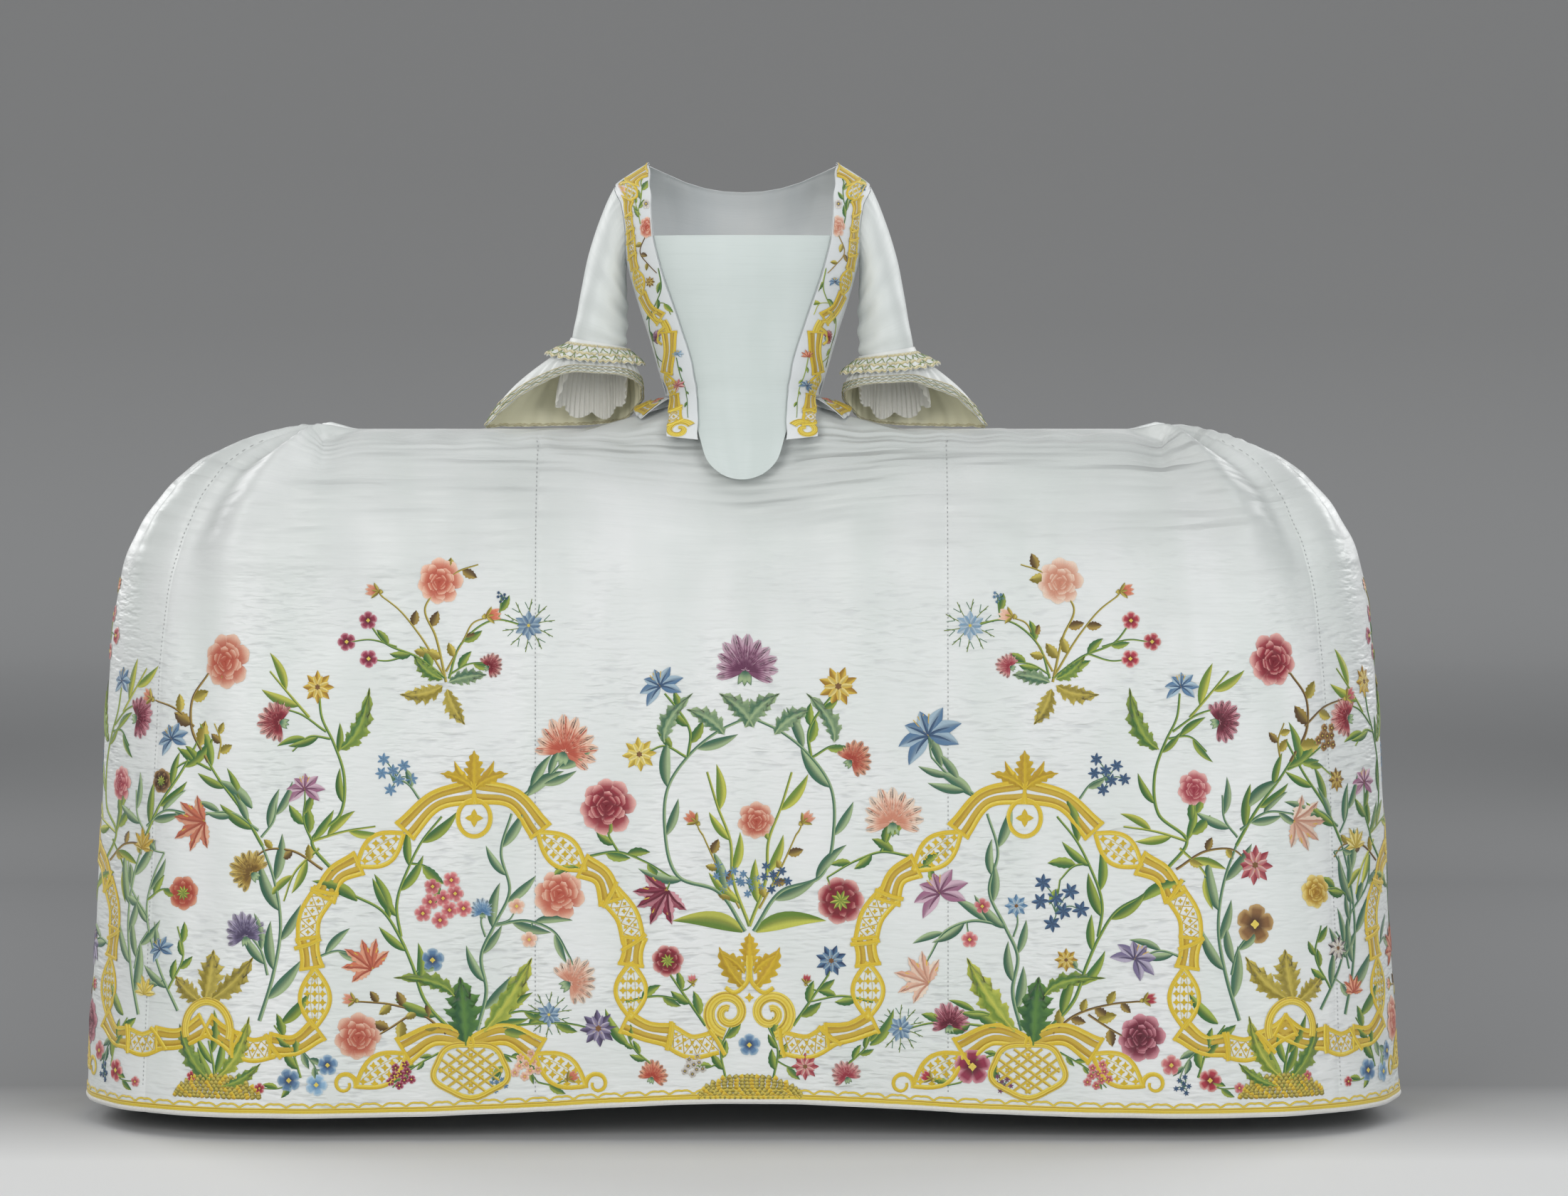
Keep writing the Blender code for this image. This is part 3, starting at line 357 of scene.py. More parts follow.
# %% [markdown]
# The bodice is fitted: every piece of it is the torso's form moved out by whole layers of cloth. The
# robings are the front edges turned back, so they take the front's own points, one layer further out.

# %% The torso, the bodice and the robings
TORSO_POWER = 2.4
TORSO = table("""
z half_width front back
-0.125 0.24 0.156 0.105
-0.06 0.2 0.138 0.095
-0.03 0.15 0.121 0.089
0 0.111 0.108 0.085
0.04 0.1205 0.109 0.087
0.08 0.1315 0.113 0.091
0.136 0.1495 0.123 0.097
0.192 0.166 0.133 0.101
0.24 0.1765 0.128 0.102
0.28 0.183 0.108 0.094
0.305 0.183 0.082 0.08
0.322 0.16 0.06 0.062
0.338 0.134 0.04 0.044
""")
BODICE_FOOT_Z = 0.002
UNDERARM_Z = 0.192
SHOULDER_Z = 0.305
NECK_Z = 0.338
BACK_NECK_Z = 0.300
BACK_NECK_SHARE = 0.6
BACK_NECK_CURVE = 2.2
BACK_STRIPS = 8
ARMHOLE_DEPTH = 0.055

# Robings: where their inner edges lie, and how far round the torso their outer edges reach
ROBING = table("""
inner_z inner_x outer_z outer_share
-0.06 0.0625 -0.056 0.55
-0.03 0.0625 -0.03 0.69
0.003 0.0637 0.003 0.93
0.022 0.0655 0.022 0.945
0.046 0.07 0.046 0.95
0.07 0.076 0.07 0.95
0.096 0.0845 0.096 0.95
0.122 0.093 0.122 0.95
0.148 0.102 0.148 0.952
0.174 0.111 0.174 0.955
0.202 0.119 0.202 0.952
0.229 0.1255 0.226 0.935
0.254 0.128 0.246 0.915
0.277 0.13 0.264 0.912
0.298 0.1315 0.28 0.918
0.316 0.1328 0.293 0.935
0.33 0.1338 0.301 0.958
0.338 0.134 0.3085 1
""")
ROBING_STRIPS = 5
SIDE_STRIPS = 3

# Rise is how far the stomacher's sides rise above its middle, which rounds the point
STOMACHER = table("""
z half_width rise
-0.1145 0.03 0.008
-0.106 0.043 0.01
-0.09 0.0525 0.008
-0.062 0.0595 0.003
-0.035 0.066 0
-0.012 0.071 0
0.006 0.074 0
0.028 0.0785 0
0.06 0.0855 0
0.1 0.097 0
0.14 0.1095 0
0.175 0.1215 0
0.205 0.1295 0
0.234 0.137 0
""")


def torso_size(column, z):
    return smooth(z, TORSO["z"], TORSO[column])


def torso_depth(z, facing):
    return torso_size("front" if facing < 0 else "back", z)


def torso(angle, z, facing=-1.0):
    """The torso under the clothes: angle 0 is the centre front or back, a quarter turn the side."""
    aside, ahead = oval(angle, TORSO_POWER)
    return point(torso_size("half_width", z) * aside, facing * torso_depth(z, facing) * ahead, z)


def angle_of_share(share):
    """The torso angle where x is that share of the half width."""
    return np.arcsin(np.clip(share, 0, 1) ** (TORSO_POWER / 2))


def torso_layer(angle, z, layers, facing=-1.0):
    """Points of the torso moved out by whole layers of cloth, and the directions inwards."""
    def surface(a, h):
        return torso(a, h, facing)

    z_range = (TORSO["z"][0], NECK_Z)
    outward = -facing * normals(surface, angle, z, (-np.pi / 2, np.pi / 2), z_range, step=3e-4)
    return torso(angle, z, facing) + outward * layers * LAYER, -outward


def armhole_angle(z, facing):
    """The torso angle of the armhole's front or back edge at that height."""
    middle = (UNDERARM_Z + SHOULDER_Z) / 2
    rise = np.clip((z - middle) / (SHOULDER_Z - middle), -1, 1)
    depth = ARMHOLE_DEPTH * np.sqrt(1 - rise**2)
    share = (1 - np.clip(depth / torso_depth(z, facing), 0, 1) ** TORSO_POWER) ** (1 / TORSO_POWER)
    return np.where(np.abs(rise) < 1, angle_of_share(share), np.pi / 2)


def front_grid():
    """Angles and heights of the front's points: the robing's strips, then those out to the side seam."""
    inner_z, inner_x, outer_z, outer_share = (ROBING[name][:, None] for name in ROBING)
    first = angle_of_share(inner_x / torso_size("half_width", inner_z))
    edge = angle_of_share(outer_share)
    side_z = np.where(outer_z > UNDERARM_Z, np.minimum(outer_z, SHOULDER_Z), outer_z)
    side_z[-1] = SHOULDER_Z
    last = np.where(side_z > UNDERARM_Z, armhole_angle(side_z, -1.0), np.pi / 2)
    under = np.linspace(0, 1, ROBING_STRIPS + 1)
    beyond = np.linspace(0, 1, SIDE_STRIPS + 1)[1:]

    def strips(inner, outer, side):
        return np.concatenate([mixed(inner, outer, under), mixed(outer, side, beyond)], axis=1)

    return strips(first, edge, last), strips(inner_z, outer_z, side_z)


def bodice_back():
    """Both halves of the back in one piece, from side seam to side seam."""
    across = np.linspace(0, 1, BACK_STRIPS + 1)
    angles = [np.pi / 2 * across] * 5
    heights = [np.full_like(across, z) for z in np.linspace(BODICE_FOOT_Z, UNDERARM_Z, 5)]
    on_neck = np.clip(across / BACK_NECK_SHARE, 0, 1)
    on_shoulder = np.clip((across - BACK_NECK_SHARE) / (1 - BACK_NECK_SHARE), 0, 1)
    edge_z = mixed(BACK_NECK_Z, NECK_Z, on_neck**BACK_NECK_CURVE) - (NECK_Z - SHOULDER_Z) * on_shoulder
    edge_share = torso_size("half_width", NECK_Z) * on_neck / torso_size("half_width", edge_z)
    edge_angle = np.where(on_neck < 1, angle_of_share(edge_share), np.pi / 2)
    for share in (1 - np.cos(np.linspace(0, np.pi, 7)[1:])) / 2:
        z = mixed(UNDERARM_Z, edge_z, share)
        last = armhole_angle(z[-1], 1.0)
        angles.append(last * (1 - share) * across + last * share * edge_angle / (np.pi / 2))
        heights.append(z)
    points = torso_layer(np.array(angles), np.array(heights), 1, facing=1.0)[0]
    points = np.concatenate([mirrored(points, -1)[:, :0:-1], points], axis=1)
    # The shoulder and side seams: the back stands off by the seam's gap
    points[..., 1] = np.maximum(points[..., 1], SEAM_GAP)
    return points


def mirrored(points, side):
    return points * np.array([side, 1.0, 1.0])


# %% [markdown]
# The sleeve is a bent tube from the armhole to the elbow. A gathered ruffle goes round its end, and a
# wide flounce falls from it, short at the front of the arm and long behind.

# %% Sleeves, ruffles and flounces
# One row for each ring below the armhole: its outer point, its inner point, its half depth, and y of
# its middle
SLEEVE = rows_of("""
0.2 0.28 0.169 0.174 0.053 0
0.216 0.236 0.1675 0.15 0.05 -0.001
0.229 0.192 0.168 0.128 0.047 -0.002
0.239 0.146 0.169 0.104 0.044 -0.004
0.246 0.106 0.17 0.083 0.0415 -0.005
0.25 0.08 0.171 0.07 0.0405 -0.006
""")
# The left elbow hangs lower, and what lies under this height above the waist stays where it is
LEFT_ELBOW_DROP = 0.014
DROP_EASE = 0.03

# Ruffle at the elbow: its waves, its length, where it starts on the sleeve, and how far it stands out
RUFFLE_WAVES = 16
RUFFLE_DEPTH = 0.026
RUFFLE_ON_SLEEVE = 0.3
RUFFLE_LEAVES_SLEEVE = 0.35
RUFFLE_SLEEVE_RING = 5.6
RUFFLE_SLEEVE_GAP = 0.0015
RUFFLE_LIFT = 0.0034
RUFFLE_WAVE = 0.0085
RUFFLE_FLARE = 0.003
RUFFLE_RISE = 0.0015

# The edge of each flounce below it: the angle round the arm, then the edge's place
FLOUNCE_EDGE = table("""
angle x y z
0 0.21 -0.062 0.036
45 0.266 -0.043 0.032
72 0.305 -0.01 0.006
94 0.356 0.033 -0.039
118 0.335 0.072 -0.042
148 0.276 0.096 -0.042
180 0.218 0.098 -0.04
215 0.174 0.075 -0.032
250 0.15 0.034 -0.006
285 0.147 -0.012 0.016
320 0.166 -0.05 0.031
""")
INNER_FLOUNCE_EDGE = table("""
angle x y z
75 0.26 0.006 0.026
100 0.274 0.026 -0.006
130 0.26 0.052 -0.02
165 0.226 0.064 -0.027
200 0.194 0.056 -0.024
235 0.174 0.032 -0.004
260 0.168 0.01 0.018
""")
INNER_FLOUNCE_ANGLES = np.radians(INNER_FLOUNCE_EDGE["angle"][[0, -1]])
INNER_SCALLOP = 0.011
INNER_SCALLOPS = 4
INNER_SCALLOP_TUCK = 0.004
INNER_FLOUNCE_INSET = 0.0065
INNER_FLOUNCE_RISE = 0.004
INNER_FLOUNCE_SAG = 0.006
FLOUNCE_TOP_INSET = 0.0004
FLOUNCE_SAG = 0.10
FLOUNCE_PLEATS = 10
FLOUNCE_PLEAT_SLOPE = 0.018
FLOUNCE_PLEATS_FROM = (40, 90)
FLOUNCE_PLEATS_TO = (270, 320)
# The right flounce reaches further out, most at this angle
RIGHT_FLOUNCE_REACH = 0.022
RIGHT_REACH_ANGLE = 100
RIGHT_REACH_SPREAD = 40


def outwards(angle, distance):
    """That far out from the arm, level, at each angle round it."""
    return away_from_middle(angle) * np.asarray(distance)[..., None]


def armhole(angle):
    """A point of the sleeve's top edge: angle 0 is the shoulder and a quarter turn the front."""
    middle = (UNDERARM_Z + SHOULDER_Z) / 2
    z = middle + (SHOULDER_Z - middle) * np.cos(angle)
    front, back = (torso_layer(armhole_angle(z, facing), z, 1, facing)[0] for facing in (-1.0, 1.0))
    return np.where(np.sin(angle)[..., None] > 0, front, back) + np.array([ARMHOLE_GAP, 0, 0])


def sleeve_drop(side):
    return LEFT_ELBOW_DROP if side > 0 else 0.0


def sleeve_ring(k, angle, side):
    outer_x, outer_z, inner_x, inner_z, half_depth, centre_y = SLEEVE[k]
    drop = sleeve_drop(side) * (k + 1) / len(SLEEVE)
    middle = np.array([(outer_x + inner_x) / 2, centre_y, (outer_z + inner_z) / 2 - drop])
    reach = np.array([(outer_x - inner_x) / 2, 0, (outer_z - inner_z) / 2])
    forward = np.array([0, -half_depth, 0])
    return middle + reach * np.cos(angle)[..., None] + forward * np.sin(angle)[..., None]


def sleeve(angle, t, side=1.0):
    """The sleeve as the +X one: angle 0 is its outer line, and t counts rings from the armhole."""
    rings = [armhole(angle)] + [sleeve_ring(k, angle, side) for k in range(len(SLEEVE))]
    return through_rings(np.stack(rings), t)


def elbow(angle, side):
    """The sleeve's lower edge at that angle round the arm, a hair below it."""
    return sleeve_ring(len(SLEEVE) - 1, np.pi / 2 - angle, side) - 2 * SEAM_GAP * UP


def edge_curve(edge, angle, side, whole_turn):
    """A smooth curve through a table's places, lower at the left elbow."""
    degrees, *places = (edge[name] for name in ("angle", "x", "y", "z"))
    if whole_turn:
        degrees = np.concatenate([degrees[-2:] - 360, degrees, degrees[:2] + 360])
        places = [np.concatenate([c[-2:], c, c[:2]]) for c in places]
    found = point(*(smooth(np.degrees(angle), degrees, c) for c in places))
    found[..., 2] -= sleeve_drop(side) * np.clip(found[..., 2] / DROP_EASE, 0, 1)
    return found


def flounce_edge(angle, side):
    edge = edge_curve(FLOUNCE_EDGE, angle, side, True)
    if side < 0:
        near_reach = hump(np.degrees(angle) - RIGHT_REACH_ANGLE, RIGHT_REACH_SPREAD)
        edge[..., 0] += RIGHT_FLOUNCE_REACH * near_reach
    return edge


def flounce(angle, share, side):
    """From the sleeve's edge, share 0, to the flounce's own edge, share 1, with its pleats."""
    top = elbow(angle, side) - outwards(angle, FLOUNCE_TOP_INSET)
    foot = flounce_edge(angle, side)
    length = np.linalg.norm(foot - top, axis=-1)
    sag = FLOUNCE_SAG * length * np.sin(np.pi * share)
    pleat = FLOUNCE_PLEAT_SLOPE * length * share * np.cos(FLOUNCE_PLEATS * angle)
    strength = between(np.degrees(angle), FLOUNCE_PLEATS_FROM, FLOUNCE_PLEATS_TO)
    return mixed(top, foot, share[..., None]) + outwards(angle, sag + pleat * strength)


def inner_flounce(angle, share, side):
    """The small flounce under it, with a scalloped edge."""
    start = elbow(angle, side) - outwards(angle, INNER_FLOUNCE_INSET) + INNER_FLOUNCE_RISE * UP
    foot = edge_curve(INNER_FLOUNCE_EDGE, angle, side, False)
    first, last = INNER_FLOUNCE_ANGLES
    lobe = np.abs(np.sin(np.pi * (angle - first) / (last - first) * INNER_SCALLOPS))
    out = INNER_FLOUNCE_SAG * np.sin(np.pi * share) - INNER_SCALLOP_TUCK * (1 - lobe) * share
    found = mixed(start, foot, share[..., None]) + outwards(angle, out)
    found[..., 2] -= INNER_SCALLOP * (lobe - 0.5) * share
    return found


def ruffle(angle, share, side):
    """The cuff ruffle starts on the sleeve and lies out over the top of the flounce."""
    on_sleeve = sleeve(np.pi / 2 - angle, np.full_like(angle, RUFFLE_SLEEVE_RING), side)
    on_sleeve = on_sleeve + outwards(angle, RUFFLE_SLEEVE_GAP)
    depth = np.clip((share - RUFFLE_ON_SLEEVE) / (1 - RUFFLE_ON_SLEEVE), 0, 1) * RUFFLE_DEPTH
    flounce_length = np.linalg.norm(flounce_edge(angle, side) - elbow(angle, side), axis=-1)
    over = flounce(angle, depth / flounce_length, side)
    wave = (1 + np.cos(RUFFLE_WAVES * angle)) / 2
    lift = RUFFLE_LIFT + RUFFLE_WAVE * wave * fade(share, 0.1, 1) + RUFFLE_FLARE * share
    over = over + outwards(angle, lift) + RUFFLE_RISE * UP
    return mixed(on_sleeve, over, fade(share, 0, RUFFLE_LEAVES_SLEEVE)[..., None])


# %% [markdown]
# Behind, the mantua's skirts are drawn back from the waist into a train that lies over the petticoat in
# folds.

# %% Overskirt and train
# The overskirt runs from one angle round the waist to another, in degrees
OVERSKIRT_FIRST = 66.0
OVERSKIRT_LAST = 128.0
OVERSKIRT_WIDTH = 0.046
OVERSKIRT_NARROWS = 0.25
OVERSKIRT_DROP = 0.0014
OVERSKIRT_FALL = 0.017
OVERSKIRT_CURVE = 1.3
OVERSKIRT_CORNER_FALL = 0.012
OVERSKIRT_CORNER = 24
TRAIN_END_RING = 7.75
TRAIN_LIFT = 0.012
TRAIN_FOLD = 0.007
TRAIN_FOLDS = 7
TRAIN_FOLD_RINGS = (0.3, 2.5)
TRAIN_TOP_HALF = 0.115
TRAIN_FOOT_HALF = 0.52
TRAIN_SPREAD_RINGS = 10.75
TRAIN_WAIST_TURN = 0.9
TRAIN_LEAVES_WAIST = 0.8


def waist_line(turn, depth):
    """The bodice's lower edge, where the overskirts and the train are sewn."""
    half_width = torso_size("half_width", 0.0) + LAYER
    return point(half_width * np.sin(turn), depth + 0 * turn, BODICE_FOOT_Z - OVERSKIRT_DROP + 0 * turn)


def overskirt(turn, share):
    """A short flare round the waist: turn is 0 at the centre front and half a turn at the back."""
    depth = np.where(np.cos(turn) > 0, torso_depth(0.0, -1), torso_depth(0.0, 1))
    start = waist_line(turn, -(depth + LAYER) * np.cos(turn))
    degrees = np.degrees(turn)
    width = OVERSKIRT_WIDTH * (1 - OVERSKIRT_NARROWS * fade(degrees, 90, OVERSKIRT_LAST))
    in_corner = 1 - fade(degrees, OVERSKIRT_FIRST, OVERSKIRT_FIRST + OVERSKIRT_CORNER)
    fall = (OVERSKIRT_FALL + OVERSKIRT_CORNER_FALL * in_corner) * share**OVERSKIRT_CURVE
    return start + outwards(turn, width * share) - fall[..., None] * UP


def train(u, t):
    """The train lies over the back of the petticoat in soft folds: u runs from -1 to 1 across it."""
    half = mixed(TRAIN_TOP_HALF, TRAIN_FOOT_HALF, fade(t, 0, TRAIN_SPREAD_RINGS))
    s = HALF_ROUND - u * half
    outward = -normals(petticoat_base, s, t, (s.min() - 1, s.max() + 1), (0, HEM_RING + 1), step=4e-4)
    fold = TRAIN_LIFT + TRAIN_FOLD * fade(t, *TRAIN_FOLD_RINGS) * np.cos(TRAIN_FOLDS * np.pi * u)
    over = petticoat_base(s, t) + outward * fold[..., None]
    turn = TRAIN_WAIST_TURN * u
    waist = waist_line(turn, (torso_depth(0.0, 1) + LAYER) * np.cos(turn))
    return mixed(waist, over, fade(t, 0, TRAIN_LEAVES_WAIST)[..., None])

# %% [markdown]
# Each finish is a small sum on colours and numbers. Writing that sum as a Python expression keeps it
# readable, so one class wraps a socket of the shader and turns +, - and * into Math nodes.

# %% Shader maths
class Value:
    """A number, colour or vector socket that can be used in an expression."""

    def __init__(self, tree, socket):
        self.tree = tree
        self.socket = socket

    def node(self, kind, settings, inputs, output=0):
        """A new node: its settings, the value or link of each input, and the output wanted."""
        made = self.tree.nodes.new(kind)
        for name, value in settings.items():
            setattr(made, name, value)
        for name, value in inputs.items():
            if isinstance(value, Value):
                self.tree.links.new(value.socket, made.inputs[name])
            elif value is not None:
                made.inputs[name].default_value = value
        return Value(self.tree, made.outputs[output])

    def math(self, operation, *values):
        return self.node("ShaderNodeMath", {"operation": operation}, dict(enumerate(values)))

    def __add__(self, other):
        return self.math("ADD", self, other)

    def __rsub__(self, other):
        return self.math("SUBTRACT", other, self)

    def __mul__(self, other):
        return self.math("MULTIPLY", self, other)

    def sine(self):
        return self.math("SINE", self)

    def range(self, low, high, new_low=0.0, new_high=1.0):
        inputs = {0: self, 1: low, 2: high, 3: new_low, 4: new_high}
        return self.node("ShaderNodeMapRange", {"clamp": True}, inputs)

    def stretch(self, scale):
        return self.node("ShaderNodeMapping", {}, {"Vector": self, "Scale": scale})

    def part(self, axis):
        return self.node("ShaderNodeSeparateXYZ", {}, {"Vector": self}, output="XYZ".index(axis))

    def noise(self, scale, detail=2.0):
        inputs = {"Vector": self, "Scale": scale, "Detail": detail}
        return self.node("ShaderNodeTexNoise", {}, inputs)

    def mix(self, first, second):
        """The first colour where this value is 0 and the second where it is 1."""
        inputs = {"Factor": self, 6: first, 7: second}
        return self.node("ShaderNodeMix", {"data_type": "RGBA"}, inputs, output=2)

    def bump(self, distance, strength, normal=None):
        inputs = {"Height": self, "Distance": distance, "Strength": strength, "Normal": normal}
        return self.node("ShaderNodeBump", {}, inputs)


def finish(name, roughness, sheen=0.0):
    """A new material, with the values that are the same all over set on its shader."""
    made = bpy.data.materials.new(name)
    made.use_nodes = True
    shader = made.node_tree.nodes["Principled BSDF"]
    shader.inputs["Roughness"].default_value = roughness
    shader.inputs["Sheen Weight"].default_value = sheen
    shader.inputs["Sheen Roughness"].default_value = 0.4
    start = Value(made.node_tree, None)

    def feed(**values):
        for socket, value in values.items():
            made.node_tree.links.new(value.socket, shader.inputs[socket.replace("_", " ")])

    return made, start, feed


# %% [markdown]
# Silk of this kind is a ribbed weave: fine threads run across the width and catch the light in pale
# streaks. Its colour shifts a little between silver, blue and green from one stretch of cloth to the
# next, and where it is embroidered the stitches draw it up into small puckers that lie across. The
# puckers' shadows are painted into the colour, and so is a band of painted shade across the top of the
# petticoat.

# %% The silks
SILK_PALE = (0.71, 0.725, 0.72, 1.0)
SILK_GREEN = (0.64, 0.675, 0.655, 1.0)
SILK_BLUE = (0.66, 0.69, 0.70, 1.0)
RIBS_PER_METRE = 1500.0
CREASE_DEPTH = 0.006
PUCKER_TOP = -0.40
PUCKER_SHADOW = (0.47, 0.49, 0.50, 1.0)


def darker(colour, share):
    return tuple(share * channel for channel in colour[:3]) + (1.0,)


def silk(name, pale, deep, roughness, sheen=0.25, pucker=0.0, rib_height=0.00006):
    """Ribbed silk. Puckers, where there are any, fade in below the height PUCKER_TOP."""
    made, start, feed = finish(name, roughness, sheen)
    flat = start.node("ShaderNodeUVMap", {"uv_map": "cloth"}, {})
    space = start.node("ShaderNodeTexCoord", {}, {}, output=3)
    drift = flat.stretch((3.0, 1.2, 1.0)).noise(2.4, 3.0)
    streak = flat.stretch((9.0, 420.0, 1.0)).noise(1.0, 2.0)
    colour = drift.range(0.35, 0.65).mix(pale, deep)
    colour = (streak.range(0.52, 0.75) * 0.35).mix(colour, darker(deep, 0.93))
    if pucker:
        # Painted shade: the top of the petticoat is darkened in soft patches that fade out lower down.
        high = space.part("Z").range(-0.34, -0.10)
        high = high * flat.stretch((2.0, 6.0, 1.0)).noise(1.0).range(0.3, 0.6)
        colour = (high * 0.7).mix(colour, darker(deep, 0.70))
        drawn = flat.stretch((30.0, 125.0, 1.0)).noise(1.0, 1.5)
        near = flat.stretch((6.0, 8.0, 1.0)).noise(1.0, 1.0).range(0.40, 0.60)
        low = space.part("Z").range(PUCKER_TOP, PUCKER_TOP + 0.22, 1.0, 0.15)
        colour = (drawn.range(0.58, 0.70) * near * low * 0.5).mix(colour, PUCKER_SHADOW)
    feed(Base_Color=colour)
    feed(Roughness=streak.range(0.3, 0.7, roughness - 0.05, roughness + 0.07))
    ribs = (flat.part("Y") * (RIBS_PER_METRE * 2 * math.pi)).sine()
    slub = flat.stretch((18.0, 900.0, 1.0)).noise(1.0, 1.0)
    weave = (ribs * 0.35 + slub).bump(rib_height, 0.6)
    if pucker:
        puckers = (1 - drawn.range(0.42, 0.70)) * near.range(0.0, 1.0, 0.3, 1.0) * low
        creases = flat.stretch((3.5, 42.0, 1.0)).noise(1.0, 1.0).range(0.35, 0.65) * high
        weave = creases.bump(CREASE_DEPTH, 1.0, puckers.bump(pucker, 1.0, weave))
    feed(Normal=weave)
    return made


SKIRT_SILK = silk("skirt_silk", SILK_PALE, SILK_GREEN, 0.40, pucker=0.0018)
BODY_SILK = silk("body_silk", SILK_PALE, SILK_BLUE, 0.42)
SLEEVE_SILK = silk("sleeve_silk", (0.655, 0.685, 0.67, 1.0), (0.60, 0.635, 0.62, 1.0), 0.46, sheen=0.2)
STOMACHER_SILK = silk("ribbed_silk", (0.60, 0.655, 0.64, 1.0), (0.55, 0.61, 0.59, 1.0), 0.6, sheen=0.35,
                      rib_height=0.0001)
LINING_SILK = silk("cream_silk", (0.87, 0.84, 0.64, 1.0), (0.80, 0.77, 0.56, 1.0), 0.5)
WHITE_LINEN = silk("white_linen", (0.74, 0.73, 0.69, 1.0), (0.69, 0.68, 0.63, 1.0), 0.7, sheen=0.4)
CUFF_SILK = silk("cuff_silk", (0.70, 0.715, 0.70, 1.0), (0.65, 0.67, 0.65, 1.0), 0.45)
print("silks:", [m.name for m in bpy.data.materials if "silk" in m.name])

# %% [markdown]
# Embroidery silk is softly twisted and lies in close satin stitches, so it shines along each stitch.
# Every stitched shape carries its colour in an attribute and a UV map whose first axis counts its
# stitches in metres.

# %% The embroidery silk
STITCHES_PER_METRE = 1150.0
STITCH_HEIGHT = 0.00022
STITCH_SHADOW = (0.70, 0.68, 0.68, 1.0)


def stitched(name, roughness, sheen=0.2):
    made, start, feed = finish(name, roughness, sheen)
    flat = start.node("ShaderNodeUVMap", {"uv_map": "stitch"}, {})
    dye = start.node("ShaderNodeVertexColor", {"layer_name": "dye"}, {})
    threads = (flat.part("X") * (STITCHES_PER_METRE * 2 * math.pi)).sine()
    stitches = threads * 0.5 + flat.stretch((900.0, 120.0, 1.0)).noise(1.0, 1.0)
    dark = start.node("ShaderNodeMix", {"data_type": "RGBA", "blend_type": "MULTIPLY"},
                      {"Factor": 1.0, 6: dye, 7: STITCH_SHADOW}, output=2)
    feed(Base_Color=stitches.range(-0.2, 1.2).mix(dark, dye))
    feed(Normal=stitches.bump(STITCH_HEIGHT, 0.8))
    return made


FLOSS = stitched("floss", 0.46)
GOLD_SILK = stitched("gold_silk", 0.40, sheen=0.3)
print("stitched finishes:", FLOSS.name, GOLD_SILK.name)

# %% [markdown]
# Every piece of cloth is made in one way. A surface is sampled on a fine grid, the grid becomes a mesh
# with a UV map in the cloth's own metres, and a Solidify modifier gives it the thickness of silk, inward,
# so that its outer face stays where the solid's is. Then the solid under it is hidden.

# %% One maker for all the cloth
SILK_THICK = 0.0006
SIDES = (("left", 1.0), ("right", -1.0))


def flat_places(points):
    """Each point's place on the flat cloth: lengths along its fullest row and down its columns."""
    along = running(distances(points, 1).max(axis=0))
    down = running(distances(points).mean(axis=1))
    return np.stack(np.broadcast_arrays(along[None, :], -down[:, None]), axis=-1)


def fill(items, name, values, kind=np.float32):
    """Sets one property of every vertex, corner or face at once."""
    items.foreach_set(name, values.astype(kind).ravel())


def of_faces(mesh, what):
    values = np.empty(len(mesh.polygons) * 3, np.float32)
    mesh.polygons.foreach_get(what, values)
    return values.reshape(-1, 3)


def area_of(points):
    """The area of a grid of points, from the two triangles of each of its quads."""
    a, b, c, d = points[:-1, :-1], points[:-1, 1:], points[1:, 1:], points[1:, :-1]
    first, second = (np.linalg.norm(np.cross(p - a, q - a), axis=-1) for p, q in ((b, c), (c, d)))
    return 0.5 * (first + second).sum()


def cloth_piece(name, points, material, outward, flat, held, rests_on, closed=False, thick=SILK_THICK,
                places=None, **cut):
    """One piece of cloth from its outer points. outward is a direction, or None for out of its middle."""
    columns = points.shape[1]
    whole = np.concatenate([points, points[:, :1]], axis=1) if closed else points
    places = flat_places(whole) if places is None else places
    row, column = (a.ravel() for a in np.mgrid[: whole.shape[0] - 1, : whole.shape[1] - 1])
    corners = ((row, column), (row + 1, column), (row + 1, column + 1), (row, column + 1))
    quads = np.stack([r * columns + c % columns for r, c in corners], axis=1)
    mesh = bpy.data.meshes.new(name + "_cloth")
    mesh.from_pydata(points.reshape(-1, 3).tolist(), [], quads.tolist())
    uv = mesh.uv_layers.new(name="cloth")
    fill(uv.data, "uv", np.stack([places[r, c] for r, c in corners], axis=1))
    mesh.materials.append(material)
    piece = new_object(name + "_cloth", mesh)
    centre = of_faces(mesh, "center")
    away = centre - centre.mean(axis=0) if outward is None else np.asarray(outward)
    if (of_faces(mesh, "normal") * away).sum() < 0:
        mesh.flip_normals()
    bpy.ops.object.select_all(action="DESELECT")
    bpy.context.view_layer.objects.active = piece
    piece.select_set(True)
    wall = piece.modifiers.new("wall", "SOLIDIFY")
    wall.thickness = thick
    wall.offset = -1.0
    wall.use_rim = True
    bpy.ops.object.modifier_apply(modifier=wall.name)
    piece.data.shade_smooth()
    piece.data.set_sharp_from_angle(angle=math.radians(60))
    print(name, "area share", round(area_of(whole) / cut.get("area", flat[0] * flat[1]), 2))
    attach(piece, "root")
    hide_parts(name)

# %% [markdown]
# The petticoat comes first. Each loom width is its own piece, gathered at the hips, with a fine seam
# where two of them meet: the edges of a width turn in, so its last few millimetres dip below the rest.

